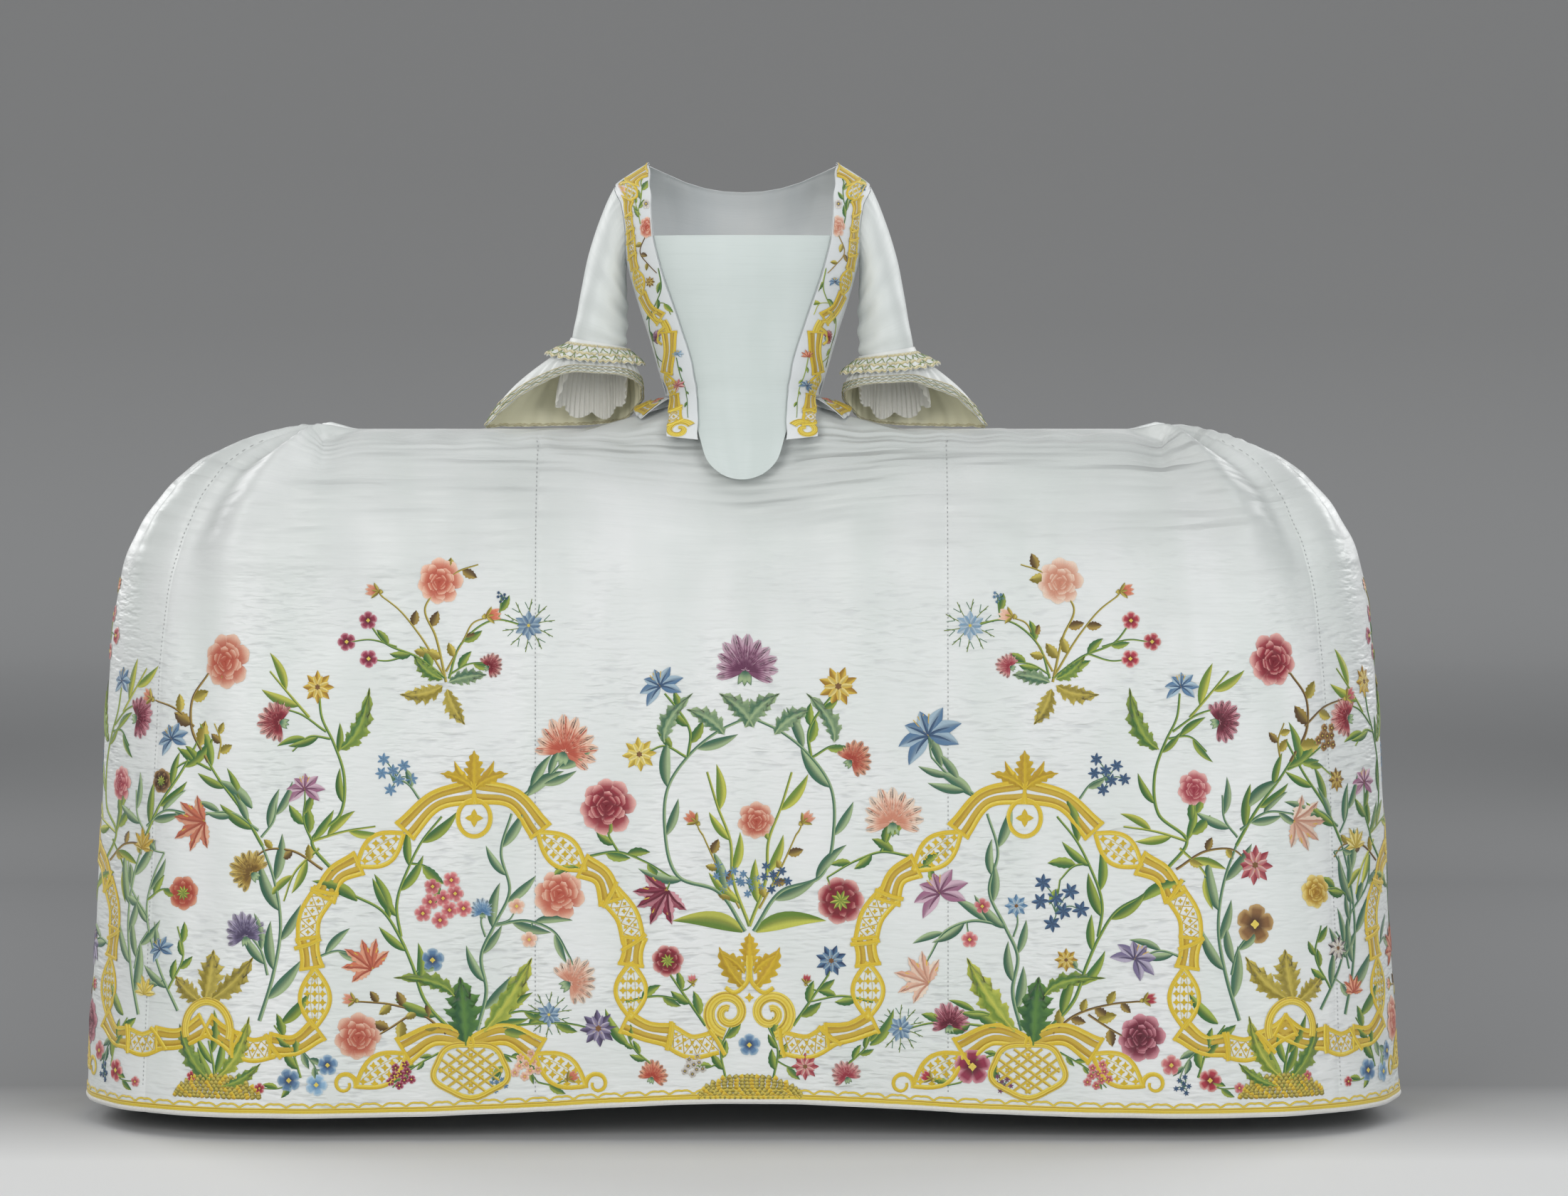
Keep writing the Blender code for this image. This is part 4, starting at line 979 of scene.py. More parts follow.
# %% The petticoat's widths
SEAM_DIP = 0.0011
SEAM_HALF_WIDTH = 0.0035
ROWS_DOWN = 136
COLUMNS_ACROSS = 80
DRAW_HEIGHT = 0.0014
CREASE_HEIGHT = 0.0011
FINE_S = np.linspace(-HALF_ROUND, HALF_ROUND, 1601)
FINE_T = np.concatenate([np.linspace(0, 4, 161), np.linspace(4, 8, 141)[1:]])
CENTRE_COLUMN = 800


def small_draws(s, t):
    """The cloth's slight unevenness: soft vertical waves between the pleats, and lift near the hem."""
    wave = np.sin(s * 41 + 1.3 * np.sin(t * 1.7)) + 0.6 * np.sin(s * 67 - t * 1.1 + 2.0)
    across = 0.5 * np.sin(t * 9.0 + 3.0 * np.sin(s * 11.0))
    creases = np.sin(t * 21 + 2.2 * np.sin(s * 5.3) + 1.1 * np.sin(s * 13.0))
    creases = CREASE_HEIGHT * creases * (0.6 + 0.4 * np.sin(s * 8.1)) * between(t, (0.5, 1.1), (1.8, 2.6))
    return DRAW_HEIGHT * (wave + across) * fade(t, 1.5, 4.5) + creases


def out_of(points):
    """The directions out of a grid that runs round and down."""
    return -unit(np.cross(np.gradient(points, axis=1), np.gradient(points, axis=0)))


def look_up(values, columns, rows, x, y):
    """Values between the points of a grid, by the four nearest."""
    i = np.clip(np.searchsorted(columns, x) - 1, 0, len(columns) - 2)
    j = np.clip(np.searchsorted(rows, y) - 1, 0, len(rows) - 2)
    f = np.clip((x - columns[i]) / (columns[i + 1] - columns[i]), 0, 1)[..., None]
    g = np.clip((y - rows[j]) / (rows[j + 1] - rows[j]), 0, 1)[..., None]
    above, below = (mixed(values[row, i], values[row, i + 1], f) for row in (j, j + 1))
    return mixed(above, below, g)


s, t = grid(FINE_S, FINE_T)
SKIRT = petticoat_base(s, t)
SKIRT = SKIRT + out_of(SKIRT) * (petticoat_folds(s, t) + small_draws(s, t))[..., None]
SKIRT_OUT = out_of(SKIRT)
DEPTHS = running(distances(SKIRT[:, CENTRE_COLUMN]))
print("petticoat grid:", SKIRT.shape, "centre front length", round(DEPTHS[-1], 3))


def width_of_silk(name, s_first, s_last, length):
    s, t = grid(np.linspace(s_first, s_last, COLUMNS_ACROSS + 1), np.linspace(0, 8, ROWS_DOWN + 1))
    points, out = (look_up(values, FINE_S, FINE_T, round_hem(s), t) for values in (SKIRT, SKIRT_OUT))
    edge = np.minimum(s - s_first, s_last - s)
    points = points - out * (SEAM_DIP * hump(edge, SEAM_HALF_WIDTH))[..., None]
    places = np.stack([s, -np.interp(t, FINE_T, DEPTHS)], axis=-1)
    middle_out = out[ROWS_DOWN // 2, COLUMNS_ACROSS // 2]
    cloth_piece(name, points, SKIRT_SILK, middle_out, (s_last - s_first, length), "gathered",
                ["petticoat_waistband"], places=places)


# A width's cut length, from its name: the side widths climb furthest over the hoops
CUT_LENGTHS = {"center": 1.03, "front": 1.10, "side": 1.16, "back": 1.10}
SEAMS = [SILK_WIDTH * (k + 0.5) for k in range(4)]
width_of_silk("petticoat_center_front", -SEAMS[0], SEAMS[0], CUT_LENGTHS["center"])
for k, place in enumerate(("front", "side", "back")):
    width_of_silk(f"petticoat_{place}_left", SEAMS[k], SEAMS[k + 1], CUT_LENGTHS[place])
    width_of_silk(f"petticoat_{place}_right", -SEAMS[k + 1], -SEAMS[k], CUT_LENGTHS[place])
width_of_silk("petticoat_center_back", SEAMS[3], 2 * HALF_ROUND - SEAMS[3], CUT_LENGTHS["center"])

# %% [markdown]
# The waistband is a narrow straight strip. The stomacher is a stiff pointed panel that fills the front
# between the robings, tucked a little behind them.

# %% Waistband and stomacher
band_z = np.linspace(WAIST_Z + SEAM_GAP, WAIST_Z + WAISTBAND_WIDTH, 9)
turn, band_z = grid(all_round(144), band_z)
band_depth = np.where(np.cos(turn) > 0, WAIST_FRONT, WAIST_BACK)
band = point(WAIST_HALF_WIDTH * np.sin(turn), -band_depth * np.cos(turn), band_z)
cloth_piece("petticoat_waistband", band, BODY_SILK, None, (0.60, 0.03), "hung", ["bodice_back"],
            closed=True, thick=0.0012)


def stomacher(rows, columns):
    """The stomacher's points and the directions into the body."""
    row, places = np.linspace(0, 1, rows), np.linspace(0, 1, len(STOMACHER["z"]))
    z, half_width, rise = (smooth(row, places, STOMACHER[name])[:, None] for name in STOMACHER)
    across = np.linspace(-1, 1, columns)
    height = z + rise * across**2
    share = half_width * across / torso_size("half_width", height)
    return torso_layer(np.sign(share) * angle_of_share(np.abs(share)), height, 0)


points, inward = stomacher(90, 49)
cloth_piece("stomacher", points + inward * STOMACHER_INSET, STOMACHER_SILK, (0, -1, 0), (0.25, 0.36),
            "stretched", ["robing_left", "robing_right"], area=0.065)

# %% [markdown]
# The fronts reach from the stomacher round to the side seams. Each robing is the front's edge turned back
# over it.

# %% Bodice and robings
PANEL_ANGLE, PANEL_Z = front_grid()
FINE_ROWS = 120


def finer(values, rows, columns):
    """A table of points in between the given ones: smooth down the rows, straight across the columns."""
    old_rows, old_columns = np.arange(values.shape[0]), np.arange(values.shape[1])
    new_rows = np.linspace(0, len(old_rows) - 1, rows)
    down = np.stack([smooth(new_rows, old_rows, values[:, k]) for k in old_columns], axis=1)
    new_columns = np.linspace(0, len(old_columns) - 1, columns)
    return np.stack([np.interp(new_columns, old_columns, row) for row in down])


def front_piece(strips, columns, layers, foot_z, side):
    """The front's first strips, that many layers out, from foot_z up."""
    angle, z = (finer(values[:, : strips + 1], FINE_ROWS, columns) for values in (PANEL_ANGLE, PANEL_Z))
    kept = z[:, 0] > foot_z
    return mirrored(torso_layer(angle[kept], z[kept], layers)[0], side)


for place, side in SIDES:
    front = front_piece(ROBING_STRIPS + SIDE_STRIPS, 60, 1, BODICE_FOOT_Z - 0.0005, side)
    cloth_piece(f"bodice_front_{place}", front, BODY_SILK, (0, -1, 0), (0.15, 0.32), "stretched",
                ["bodice_back"], area=0.035)
    robing = front_piece(ROBING_STRIPS, 30, 2, -1, side)
    cloth_piece(f"robing_{place}", robing, BODY_SILK, (0, -1, 0), (0.075, 0.45), "folded",
                [f"bodice_front_{place}"], area=0.028)

points = bodice_back()
points = np.stack([finer(points[..., k], 90, 97) for k in range(3)], axis=-1)
cloth_piece("bodice_back", points, BODY_SILK, (0, 1, 0), (0.46, 0.33), "stretched",
            ["petticoat_waistband"], area=0.126)

# %% [markdown]
# The sleeves are cut wider than the arm, so they are gathered into the armhole and crease across at the
# elbow.

# %% Sleeves
def round_arm(made, angle, t, last, side, step):
    """Places on a tube of cloth round the arm, and the directions out of it."""
    points = made(angle, t, side)
    outward = normals(lambda a, r: made(a, r, side), angle, t, (-1, 8), (0, last), step)
    return points, outward * np.sign(((points - points.mean(axis=1, keepdims=True)) * outward).sum())


def sleeve_piece(side):
    angle, t = grid(all_round(96), np.linspace(0, len(SLEEVE), 97))
    points, outward = round_arm(sleeve, angle, t, len(SLEEVE), side, 5e-4)
    gathers = 0.0005 * np.cos(26 * angle) * (1 - fade(t, 0.15, 1.3))
    creases = 0.0017 * np.sin(t * 5.2 + 1.6 * np.sin(angle)) * (0.5 + 0.5 * np.cos(angle - 2.6))
    creases = creases * fade(t, 1.2, 2.6)
    drawn = 0.0014 * np.sin(3 * angle + 1.1 * t) * between(t, (0.8, 3.0), (5.4, 6.0))
    return mirrored(points + outward * (gathers + creases + drawn - 0.0004)[..., None], side)


for place, side in SIDES:
    cloth_piece(f"sleeve_{place}", sleeve_piece(side), SLEEVE_SILK, None, (0.27, 0.24), "gathered",
                [f"bodice_front_{place}"], closed=True, area=0.056)

# %% [markdown]
# Each sleeve ends in a deep lined flounce that is longest behind the elbow. Its lining shows in front, in
# pleats that run out like rays. Under it hangs a smaller flounce of fine linen, and where it begins a
# gathered ruffle stands out in small waves.

# %% Flounces and cuff ruffles
FINE_PLEATS = 34
FINE_PLEAT_HEIGHT = 0.0008
SMALL_WAVES = 44
SMALL_WAVE_HEIGHT = 0.0011


def flounce_piece(side, deeper):
    angle, share = grid(all_round(250), np.linspace(0, 1, 43))
    points, outward = round_arm(flounce, angle, share, 1, side, 1e-3)
    rays = np.cos(FINE_PLEATS * angle + 0.6 * np.sin(3 * angle)) * fade(share, 0.05, 0.6)
    return mirrored(points + outward * (FINE_PLEAT_HEIGHT * rays - deeper)[..., None], side)


def inner_piece(side):
    angle, share = grid(np.linspace(*INNER_FLOUNCE_ANGLES, 181), np.linspace(0, 1, 41))
    gathers = 0.0016 * np.sin(angle * 46 + 1.2 * np.sin(angle * 7)) * fade(share, 0.0, 0.5)
    return mirrored(inner_flounce(angle, share, side) + outwards(angle, gathers), side)


def ruffle_silk(angle, share, side):
    points = ruffle(angle, share * (0.94 + 0.06 * np.abs(np.sin(SMALL_WAVES * angle / 2))), side)
    lift = SMALL_WAVE_HEIGHT * np.cos(SMALL_WAVES * angle + 2 * np.sin(3 * angle)) * fade(share, 0.2, 0.9)
    return points + UP * lift[..., None]


for place, side in SIDES:
    sleeve_name = [f"sleeve_{place}"]
    cloth_piece(f"flounce_{place}", flounce_piece(side, 0.0), CUFF_SILK, None, (0.56, 0.16), "gathered",
                sleeve_name, closed=True, area=0.046)
    cloth_piece(f"flounce_lining_{place}", flounce_piece(side, FINE_WALL + LINING_GAP), LINING_SILK, None,
                (0.55, 0.16), "gathered", [f"flounce_{place}"], closed=True, area=0.045)
    cloth_piece(f"inner_flounce_{place}", inner_piece(side), WHITE_LINEN, None, (0.36, 0.07), "gathered",
                sleeve_name, area=0.020)
    angle, share = grid(all_round(528), np.linspace(0.02, 1, 17))
    cloth_piece(f"cuff_ruffle_{place}", mirrored(ruffle_silk(angle, share, side), side), CUFF_SILK, None,
                (0.62, 0.035), "gathered", sleeve_name, closed=True, area=0.018)

# %% [markdown]
# The overskirt is a short flare of the bodice's silk over each hip, and the train falls behind in broad
# folds.

# %% Overskirts and train
for place, side in SIDES:
    degrees, share = grid(np.linspace(OVERSKIRT_FIRST, OVERSKIRT_LAST, 81), np.linspace(0, 1, 31))
    points = overskirt(np.radians(degrees), share)
    points[..., 2] += 0.0009 * np.sin(degrees * 0.9) * fade(share, 0.2, 1.0)
    cloth_piece(f"overskirt_{place}", mirrored(points, side), BODY_SILK, (0, 0, 1), (0.20, 0.05),
                "gathered", ["petticoat_waistband"], area=0.0065)

u, t = grid(np.linspace(-1, 1, 101), np.linspace(0, TRAIN_END_RING, 131))
points = train(u, t)
points[..., 1] += 0.002 * np.sin(u * 37 + 0.7 * np.sin(t * 1.3)) * fade(t, 0.4, 2.0)
cloth_piece("train", points, BODY_SILK, (0, 1, 0.3), (1.04, 1.16), "gathered",
            ["petticoat_waistband", "bodice_back"], area=0.74)

# %% [markdown]
# The needlework is drawn on the flat cloth first, as an embroiderer draws it. Each flower's thread is
# dyed in three shades: the deep one for the base of its petals, the main one, and a pale one for their
# edge. A leaf has a dark half, a light half and the shade of its stem.

# %% Dyes
def dye(*channels):
    """A thread's colour, given as it is seen on screen, made linear."""
    return tuple((channel / 255) ** 2.2 for channel in channels)


def dyes(text):
    return {name: tuple(dye(*shades[k : k + 3]) for k in (0, 3, 6)) for name, *shades in rows_of(text)}


DYES = dyes("""
salmon 186 84 64  226 148 118  246 212 188
coral 176 68 52  216 122 92  240 182 150
peach 208 138 112  234 188 162  246 226 206
red 120 20 38  178 46 66  240 190 180
wine 92 16 40  146 38 70  222 158 168
rose 158 52 68  206 110 114  240 194 186
mauve 104 50 84  162 108 138  214 182 198
violet 72 62 92  120 110 146  186 178 200
blue 42 66 106  92 130 168  174 200 216
sky 84 128 170  138 178 208  200 220 232
yellow 168 124 34  226 190 74  244 226 146
lemon 196 164 50  236 212 96  248 236 166
brown 74 48 30  132 94 54  196 162 104
ochre 112 84 30  176 142 56  220 196 112
white 60 50 60  206 200 190  236 232 222
""")
GREENS = dyes("""
leaf 62 112 58  160 180 78  88 128 66
bright 104 138 52  200 204 88  126 146 64
olive 140 126 42  208 190 88  150 138 62
brown 92 68 34  172 146 72  108 84 48
teal 62 108 84  166 190 142  88 128 98
deep 34 84 52  96 140 66  58 100 60
""")
GOLDS = (dye(188, 150, 38), dye(226, 194, 50), dye(238, 216, 90))
GOLD_DEEP, GOLD, GOLD_PALE = GOLDS
GOLD_LAID = dye(208, 176, 58)
print("dyes:", len(DYES), "greens:", len(GREENS))

# %% [markdown]
# Everything is made of one kind of shape: a small grid that runs from a base to a tip, with a half width
# at each step. A petal, a leaf and a thread differ only in that half width, in their bend and in how
# their colours run. They are kept in lists and turned into points at once, which is far quicker than an
# object for each.

# %% The one shape, and its half widths
def pointed(u, widest=0.85, fullness=0.9):
    """A pointed form. widest moves the widest place towards the base, and a low fullness is full."""
    return np.sin(np.pi * u**widest) ** fullness


def rounded(u):
    return u**0.5 * np.sqrt(np.clip(1 - u**5, 0, 1))


def blade(u):
    return pointed(u, 0.7, 0.7)


def drop(u):
    return pointed(u, 0.55, 0.8)


def lobed(u):
    """Five lobes down each side, each of which leans towards the tip."""
    return pointed(u) * (0.56 + 0.44 * np.sin(np.pi * ((u * 5.3 + 0.2) % 1) ** 1.7))


# Half width, steps along, steps across, and how the colours lie: pale round the edge, a dark and a light
# half, light along the veins, or plain
FORMS = {
    "leaf": (pointed, 10, 4, "halves"),
    "petal": (rounded, 7, 4, "edge"),
    "blade": (blade, 9, 2, "halves"),
    "drop": (drop, 7, 4, "edge"),
    "toothed": (rounded, 6, 8, "edge"),
    "speck": (drop, 3, 2, "plain"),
    "thread": (np.ones_like, 6, 1, "plain"),
    "lobed": (lobed, 34, 6, "veins"),
}
EDGE_SINK = 0.0005
UNEVEN_DYE = 0.07


def path_through(points, count=None, per=None):
    """Even steps on a smooth curve through points, the directions to its right, and lengths along it."""
    points = np.asarray(points, dtype=float)
    lengths = running(distances(points))
    place = np.linspace(0, lengths[-1], count or max(3, int(lengths[-1] / per) + 1))
    curve = smooth if len(points) > 2 else np.interp
    path = np.stack([curve(place, lengths, points[:, k]) for k in (0, 1)], axis=1)
    ahead = unit(np.gradient(path, axis=0))
    return path, np.stack([ahead[:, 1], -ahead[:, 0]], axis=1), place


def laid_colours(style, u, v, deep, main, pale, inner):
    """How the three colours of a shape lie along it and across it."""
    if style == "plain":
        return main * np.ones_like(u)
    if style == "halves":
        return mixed(deep, main, np.clip(0.5 + v * 2.0, 0, 1)) * (1 - 0.25 * hump(v, 0.22))
    if style == "veins":
        light = 0.75 * np.abs(v) ** 3 + 0.35 * (v > 0) + 1.2 * hump(v, 0.16)
        return mixed(deep, main, np.clip(light, 0, 1))
    colour = mixed(main, pale, np.clip(np.maximum(np.abs(v) ** 5, (u - 0.74) / 0.22), 0, 1))
    return mixed(colour, deep, np.clip((inner - u) / 0.34, 0, 1))


def pairs(values, shape):
    """Two arrays of numbers as one list of pairs."""
    return np.stack([np.broadcast_to(each, shape) for each in values], axis=-1).reshape(-1, 2)


class Needlework:
    """Stitched shapes on a flat cloth, gathered until they are carried onto it."""

    def __init__(self, name, material, scale=1.0):
        self.name = name
        self.material = material
        self.scale = scale
        self.rows = {form: [] for form in FORMS}
        self.groups = []

    def shape(self, form, x, z, turn, length, width, colours, lift=0.0009, bend=0.0, dome=0.0006,
              teeth=0.0, inner=0.55):
        """One shape: turn is clockwise from straight up, in degrees, and bend how far the tip leans."""
        row = (x, z, math.radians(turn), length, width, lift, bend, dome, teeth, inner)
        self.rows[form].append(row + colours[0] + colours[1] + colours[2])

    def ring(self, count, form, x, z, turn, *rest, **more):
        """The same shape a number of times, evenly round one place."""
        for k in range(count):
            self.shape(form, x, z, turn + 360 * k / count, *rest, **more)

    def shape_arrays(self, form):
        rows = np.array(self.rows[form])
        profile, along, across, style = FORMS[form]
        x, z, turn, length, width, lift, bend, dome, teeth, inner = rows[:, :10].T[..., None, None]
        deep, main, pale = (rows[:, None, None, k : k + 3] for k in (10, 13, 16))
        u = np.linspace(0.02, 0.995, along + 1)[None, :, None]
        v = np.linspace(-1, 1, across + 1)[None, None, :]
        reach = u * (1 - teeth * (np.arange(across + 1) % 2) * u)
        half = width / 2 * profile(u) * v
        if style in ("halves", "veins"):
            half = half * (1 - teeth * (np.arange(along + 1) % 2)[None, :, None] * np.abs(v))
        slant = np.arctan(2 * bend * u)
        side = length * bend * reach**2 + half * np.cos(slant)
        forward = length * reach - half * np.sin(slant)
        if style == "veins":
            forward = forward + 0.9 * half**2 / length
        flat_x = x + forward * np.sin(turn) + side * np.cos(turn)
        flat_z = z + forward * np.cos(turn) - side * np.sin(turn)
        edge = (1 - np.abs(v) ** 3) * np.clip(np.minimum(u, 1 - u) * 8, 0, 1)
        height = lift - EDGE_SINK * (1 - edge) + dome * (1 - v**2) * np.sin(np.pi * u) ** 0.6
        u, v = (np.broadcast_to(values, half.shape)[..., None] for values in (u, v))
        colour = laid_colours(style, u, v, deep, main, pale, inner[..., None])
        unevenness = 1 + UNEVEN_DYE * np.sin(x * 9173 + z * 5347)[..., None]
        uv = (half if style == "edge" else forward + np.abs(half) * 0.8, forward)
        return (flat_x, flat_z), height, colour * unevenness, uv

    def band(self, points, width, stripes, lift=0.0007, dome=0.0004, taper=0.0, per=0.004):
        """A strip along a path: stem, braid or ribbon. stripes are the colours across it."""
        path, right, place = path_through(points, per=per * self.scale)
        v = np.linspace(-1, 1, 2 * len(stripes) + 1)
        half = (width / 2 * (1 - taper * place / place[-1]))[:, None] * v
        flat = (path[:, None] + right[:, None] * half[..., None])[None]
        height = lift - EDGE_SINK * (np.abs(v) > 0.98) + dome * (1 - v**2) + 0 * half
        stripe = np.minimum(((v + 1) / 2 * len(stripes)).astype(int), len(stripes) - 1)
        colours = np.array(stripes)[stripe] + 0 * half[..., None]
        uv = (place[None, :, None] + 0.6 * half, half[None])
        self.groups.append(((flat[..., 0], flat[..., 1]), height[None], colours[None], uv))

    def carry(self, onto):
        """Makes one mesh of all the shapes. onto(flat, lift) gives each flat point's place in space."""
        flats, lifts, colours, uvs, faces, start = [], [], [], [], [], 0
        groups = [self.shape_arrays(form) for form in FORMS if self.rows[form]] + self.groups
        for flat, height, colour, uv in groups:
            shape = colour.shape[:3]
            index = start + np.arange(math.prod(shape)).reshape(shape)
            quads = (index[:, :-1, :-1], index[:, 1:, :-1], index[:, 1:, 1:], index[:, :-1, 1:])
            faces.append(np.stack(quads, axis=-1).reshape(-1, 4))
            start += index.size
            flats.append(pairs(flat, shape))
            uvs.append(pairs(uv, shape))
            lifts.append(np.broadcast_to(height, shape).ravel())
            colours.append(np.clip(colour, 0, 1).reshape(-1, 3))
        points = onto(np.concatenate(flats), np.concatenate(lifts))
        joined = (np.concatenate(part) for part in (faces, colours, uvs))
        stitched_mesh(self.name, self.material, points, *joined)


def stitched_mesh(name, material, points, faces, colours, uvs):
    mesh = bpy.data.meshes.new(name)
    mesh.vertices.add(len(points))
    fill(mesh.vertices, "co", points)
    mesh.loops.add(faces.size)
    fill(mesh.loops, "vertex_index", faces, np.int32)
    mesh.polygons.add(len(faces))
    fill(mesh.polygons, "loop_start", np.arange(0, faces.size, 4), np.int32)
    mesh.update(calc_edges=True)
    mesh.validate()
    attribute = mesh.color_attributes.new("dye", "FLOAT_COLOR", "POINT")
    fill(attribute.data, "color", np.concatenate([colours, np.ones((len(colours), 1))], axis=1))
    fill(mesh.uv_layers.new(name="stitch").data, "uv", uvs[faces])
    mesh.materials.append(material)
    mesh.shade_smooth()
    made = new_object(name, mesh)
    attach(made, "root")
    print(name, len(faces) * 2, "triangles")


# %% [markdown]
# Flowers are rings of petals. A rose has five rings that shrink and deepen, a carnation is a fan of
# toothed petals over a green cup, and the star of a fennel flower stands in a mist of threads.

# %% Flowers and leaves
PETAL_LIFT = 0.0011


def shades(colours, mix):
    """The dye darkened (mix under 0) or made paler (over 0)."""
    deep, main, pale = (np.array(colour) for colour in colours)
    if mix < 0:
        return tuple(deep), tuple(mixed(main, deep, -mix)), tuple(mixed(pale, main, -mix))
    return tuple(mixed(deep, main, mix)), tuple(mixed(main, pale, mix)), tuple(pale)


def towards(x, z, turn, distance):
    """The place that far away, in a direction that is clockwise from straight up."""
    return x + distance * math.sin(math.radians(turn)), z + distance * math.cos(math.radians(turn))


def scattered(x, z, turn, r, count, first):
    """Evenly scattered places, as seeds lie in a flower's head."""
    return [towards(x, z, turn + 137.5 * i, r * math.sqrt((i + first) / count)) for i in range(count)]


def rose(work, x, z, r, colour, turn=0.0):
    rings = ((8, 1.0, 0.15), (7, 0.78, 0.0), (6, 0.57, 0.0), (4, 0.38, -0.2), (3, 0.21, -0.5))
    for k, (count, reach, mix) in enumerate(rings):
        tones = shades(DYES[colour], mix)
        for i in range(count):
            angle = turn + 360 * (i + 0.5 * (k % 2)) / count + 9 * math.sin(5 * i + k)
            size = r * reach * (1 + 0.08 * math.sin(7 * i + 3 * k + x * 100))
            lift, lean = PETAL_LIFT + 0.0004 * k, 0.08 * math.sin(3 * i + k)
            work.shape("petal", x, z, angle, size, size * 7 / count, tones, lift, lean, inner=0.90)


def carnation(work, x, z, r, colour, turn=0.0):
    base = towards(x, z, turn, -0.55 * r)
    for k in (-1, 0, 1):
        work.shape("drop", *base, turn + 180 + 24 * k, r * 0.55, r * 0.28, GREENS["teal"], 0.0010)
    rings = ((11, 1.0, 108, 0.3), (9, 0.86, 88, 0.0), (7, 0.68, 66, -0.2), (5, 0.48, 46, -0.4))
    for k, (count, reach, spread, mix) in enumerate(rings):
        tones = shades(DYES[colour], mix)
        for i in range(count):
            place = 2 * i / (count - 1) - 1
            size = 1.25 * r * reach * (1 - 0.18 * abs(place)) * (1 + 0.06 * math.sin(5 * i + k))
            angle, lift = turn + spread * place, PETAL_LIFT + 0.0003 * k
            work.shape("toothed", *base, angle, size, size * 0.40, tones, lift, teeth=0.32, inner=0.85)
            streak = (tones[2] if (i + k) % 2 else tones[0],) * 3
            work.shape("thread", *base, angle + 4, size * 0.93, size * 0.03, streak, lift + 0.0008)


def eye(work, x, z, r, colour):
    work.ring(6, "speck", x, z, 0, r, r * 1.1, DYES[colour], 0.0018)
    for i in range(8):
        place = towards(x, z, 45 * i + 10, r * 1.2)
        work.shape("speck", *place, 45 * i, r * 0.4, r * 0.3, DYES["yellow"], 0.0019)


def daisy(work, x, z, r, colour, turn=0.0):
    work.ring(8, "leaf", x, z, turn, r, r * 0.41, DYES[colour], PETAL_LIFT)
    work.ring(8, "leaf", x, z, turn + 22.5, r * 0.72, r * 0.41, DYES[colour][::-1], 0.0014)
    eye(work, x, z, r * 0.22, "brown")


def five(work, x, z, r, colour, turn=0.0):
    work.ring(5, "petal", x, z, turn, r, r * 1.15, DYES[colour], 0.0012)
    work.ring(4, "speck", x, z, 0, r * 0.25, r * 0.3, DYES["lemon"], 0.0018)


def cluster(work, x, z, r, colour, turn=0.0):
    for i, place in enumerate(scattered(x, z, turn, r * 0.78, 9, 0.3)):
        five(work, *place, r * 0.27, colour, 30 * i)


def bells(work, x, z, r, colour, turn=0.0):
    """Small six-pointed flowers on threads."""
    for i, (bell_x, bell_z) in enumerate(scattered(x, z, turn, r * 0.85, 7, 0.2)):
        middle = ((x + bell_x) / 2 + 0.003, (z + bell_z) / 2)
        work.band([(x, z - r * 0.3), middle, (bell_x, bell_z)], 0.0016, [GREENS["teal"][2]])
        work.ring(6, "blade", bell_x, bell_z, 13 * i, r * 0.28, r * 0.13, DYES[colour], 0.0012)


# A tulip's six petals: turn, length and lean
TULIP = rows_of("""
-64 1.1 -0.35
64 1.1 0.35
-36 1.45 -0.2
36 1.45 0.2
-9 1.65 -0.08
14 1.5 0.12
""")


def tulip(work, x, z, r, colour, turn=0.0):
    """Six ragged petals, each with a deep middle and a pale streak beside it."""
    base = towards(x, z, turn, -0.6 * r)
    for k, (angle, size, lean) in enumerate(TULIP):
        tones = shades(DYES[colour], 0.20 - 0.12 * k)
        lift, angle, size = PETAL_LIFT + 0.0002 * k, turn + angle, r * size
        work.shape("leaf", *base, angle, size, r * 0.58, tones[::-1], lift, lean, teeth=0.30)
        work.shape("blade", *base, angle, size * 0.9, r * 0.20, DYES[colour], lift + 0.0005, lean)
        work.shape("thread", *base, angle + 7, size * 0.7, r * 0.05, DYES["yellow"], lift + 0.0007, lean)


def lily(work, x, z, r, colour, turn=0.0):
    for i in range(7):
        place = 220 * i / 6 - 110
        lean = 0.30 * math.sin(math.radians(place))
        size, lift = r * (1.0 + 0.15 * math.cos(5 * i)), PETAL_LIFT + 0.0001 * i
        work.shape("leaf", x, z, turn + place, size, r * 0.5, DYES[colour][::-1], lift, lean)
        work.shape("blade", x, z, turn + place, r * 0.8, r * 0.16, DYES[colour], lift + 0.0005, lean)
    for i in range(5):
        work.shape("thread", x, z, turn - 30 + 15 * i, r * 0.75, 0.0012, DYES["yellow"], 0.0022, 0.1)


def fennel(work, x, z, r, colour, turn=0.0):
    """A blue star in a ring of forked green threads."""
    for i in range(10):
        angle = turn + 36 * i
        work.band(arc_from(x, z, angle, r * 1.25, 0.12), 0.0012, [GREENS["bright"][2]], 0.0006)
        for fork in (-26, 26):
            place = towards(x, z, angle, 0.75 * r)
            work.shape("thread", *place, angle + fork, r * 0.4, 0.0011, (GREENS["teal"][2],) * 3, 0.0007)
    for k, (reach, mix) in enumerate(((0.72, 0.2), (0.55, -0.2))):
        tones = shades(DYES[colour], mix)[::-1]
        work.ring(6, "leaf", x, z, turn + 30 * k, r * reach, r * 0.34, tones, PETAL_LIFT + 0.0003 * k)
    eye(work, x, z, r * 0.10, "lemon")


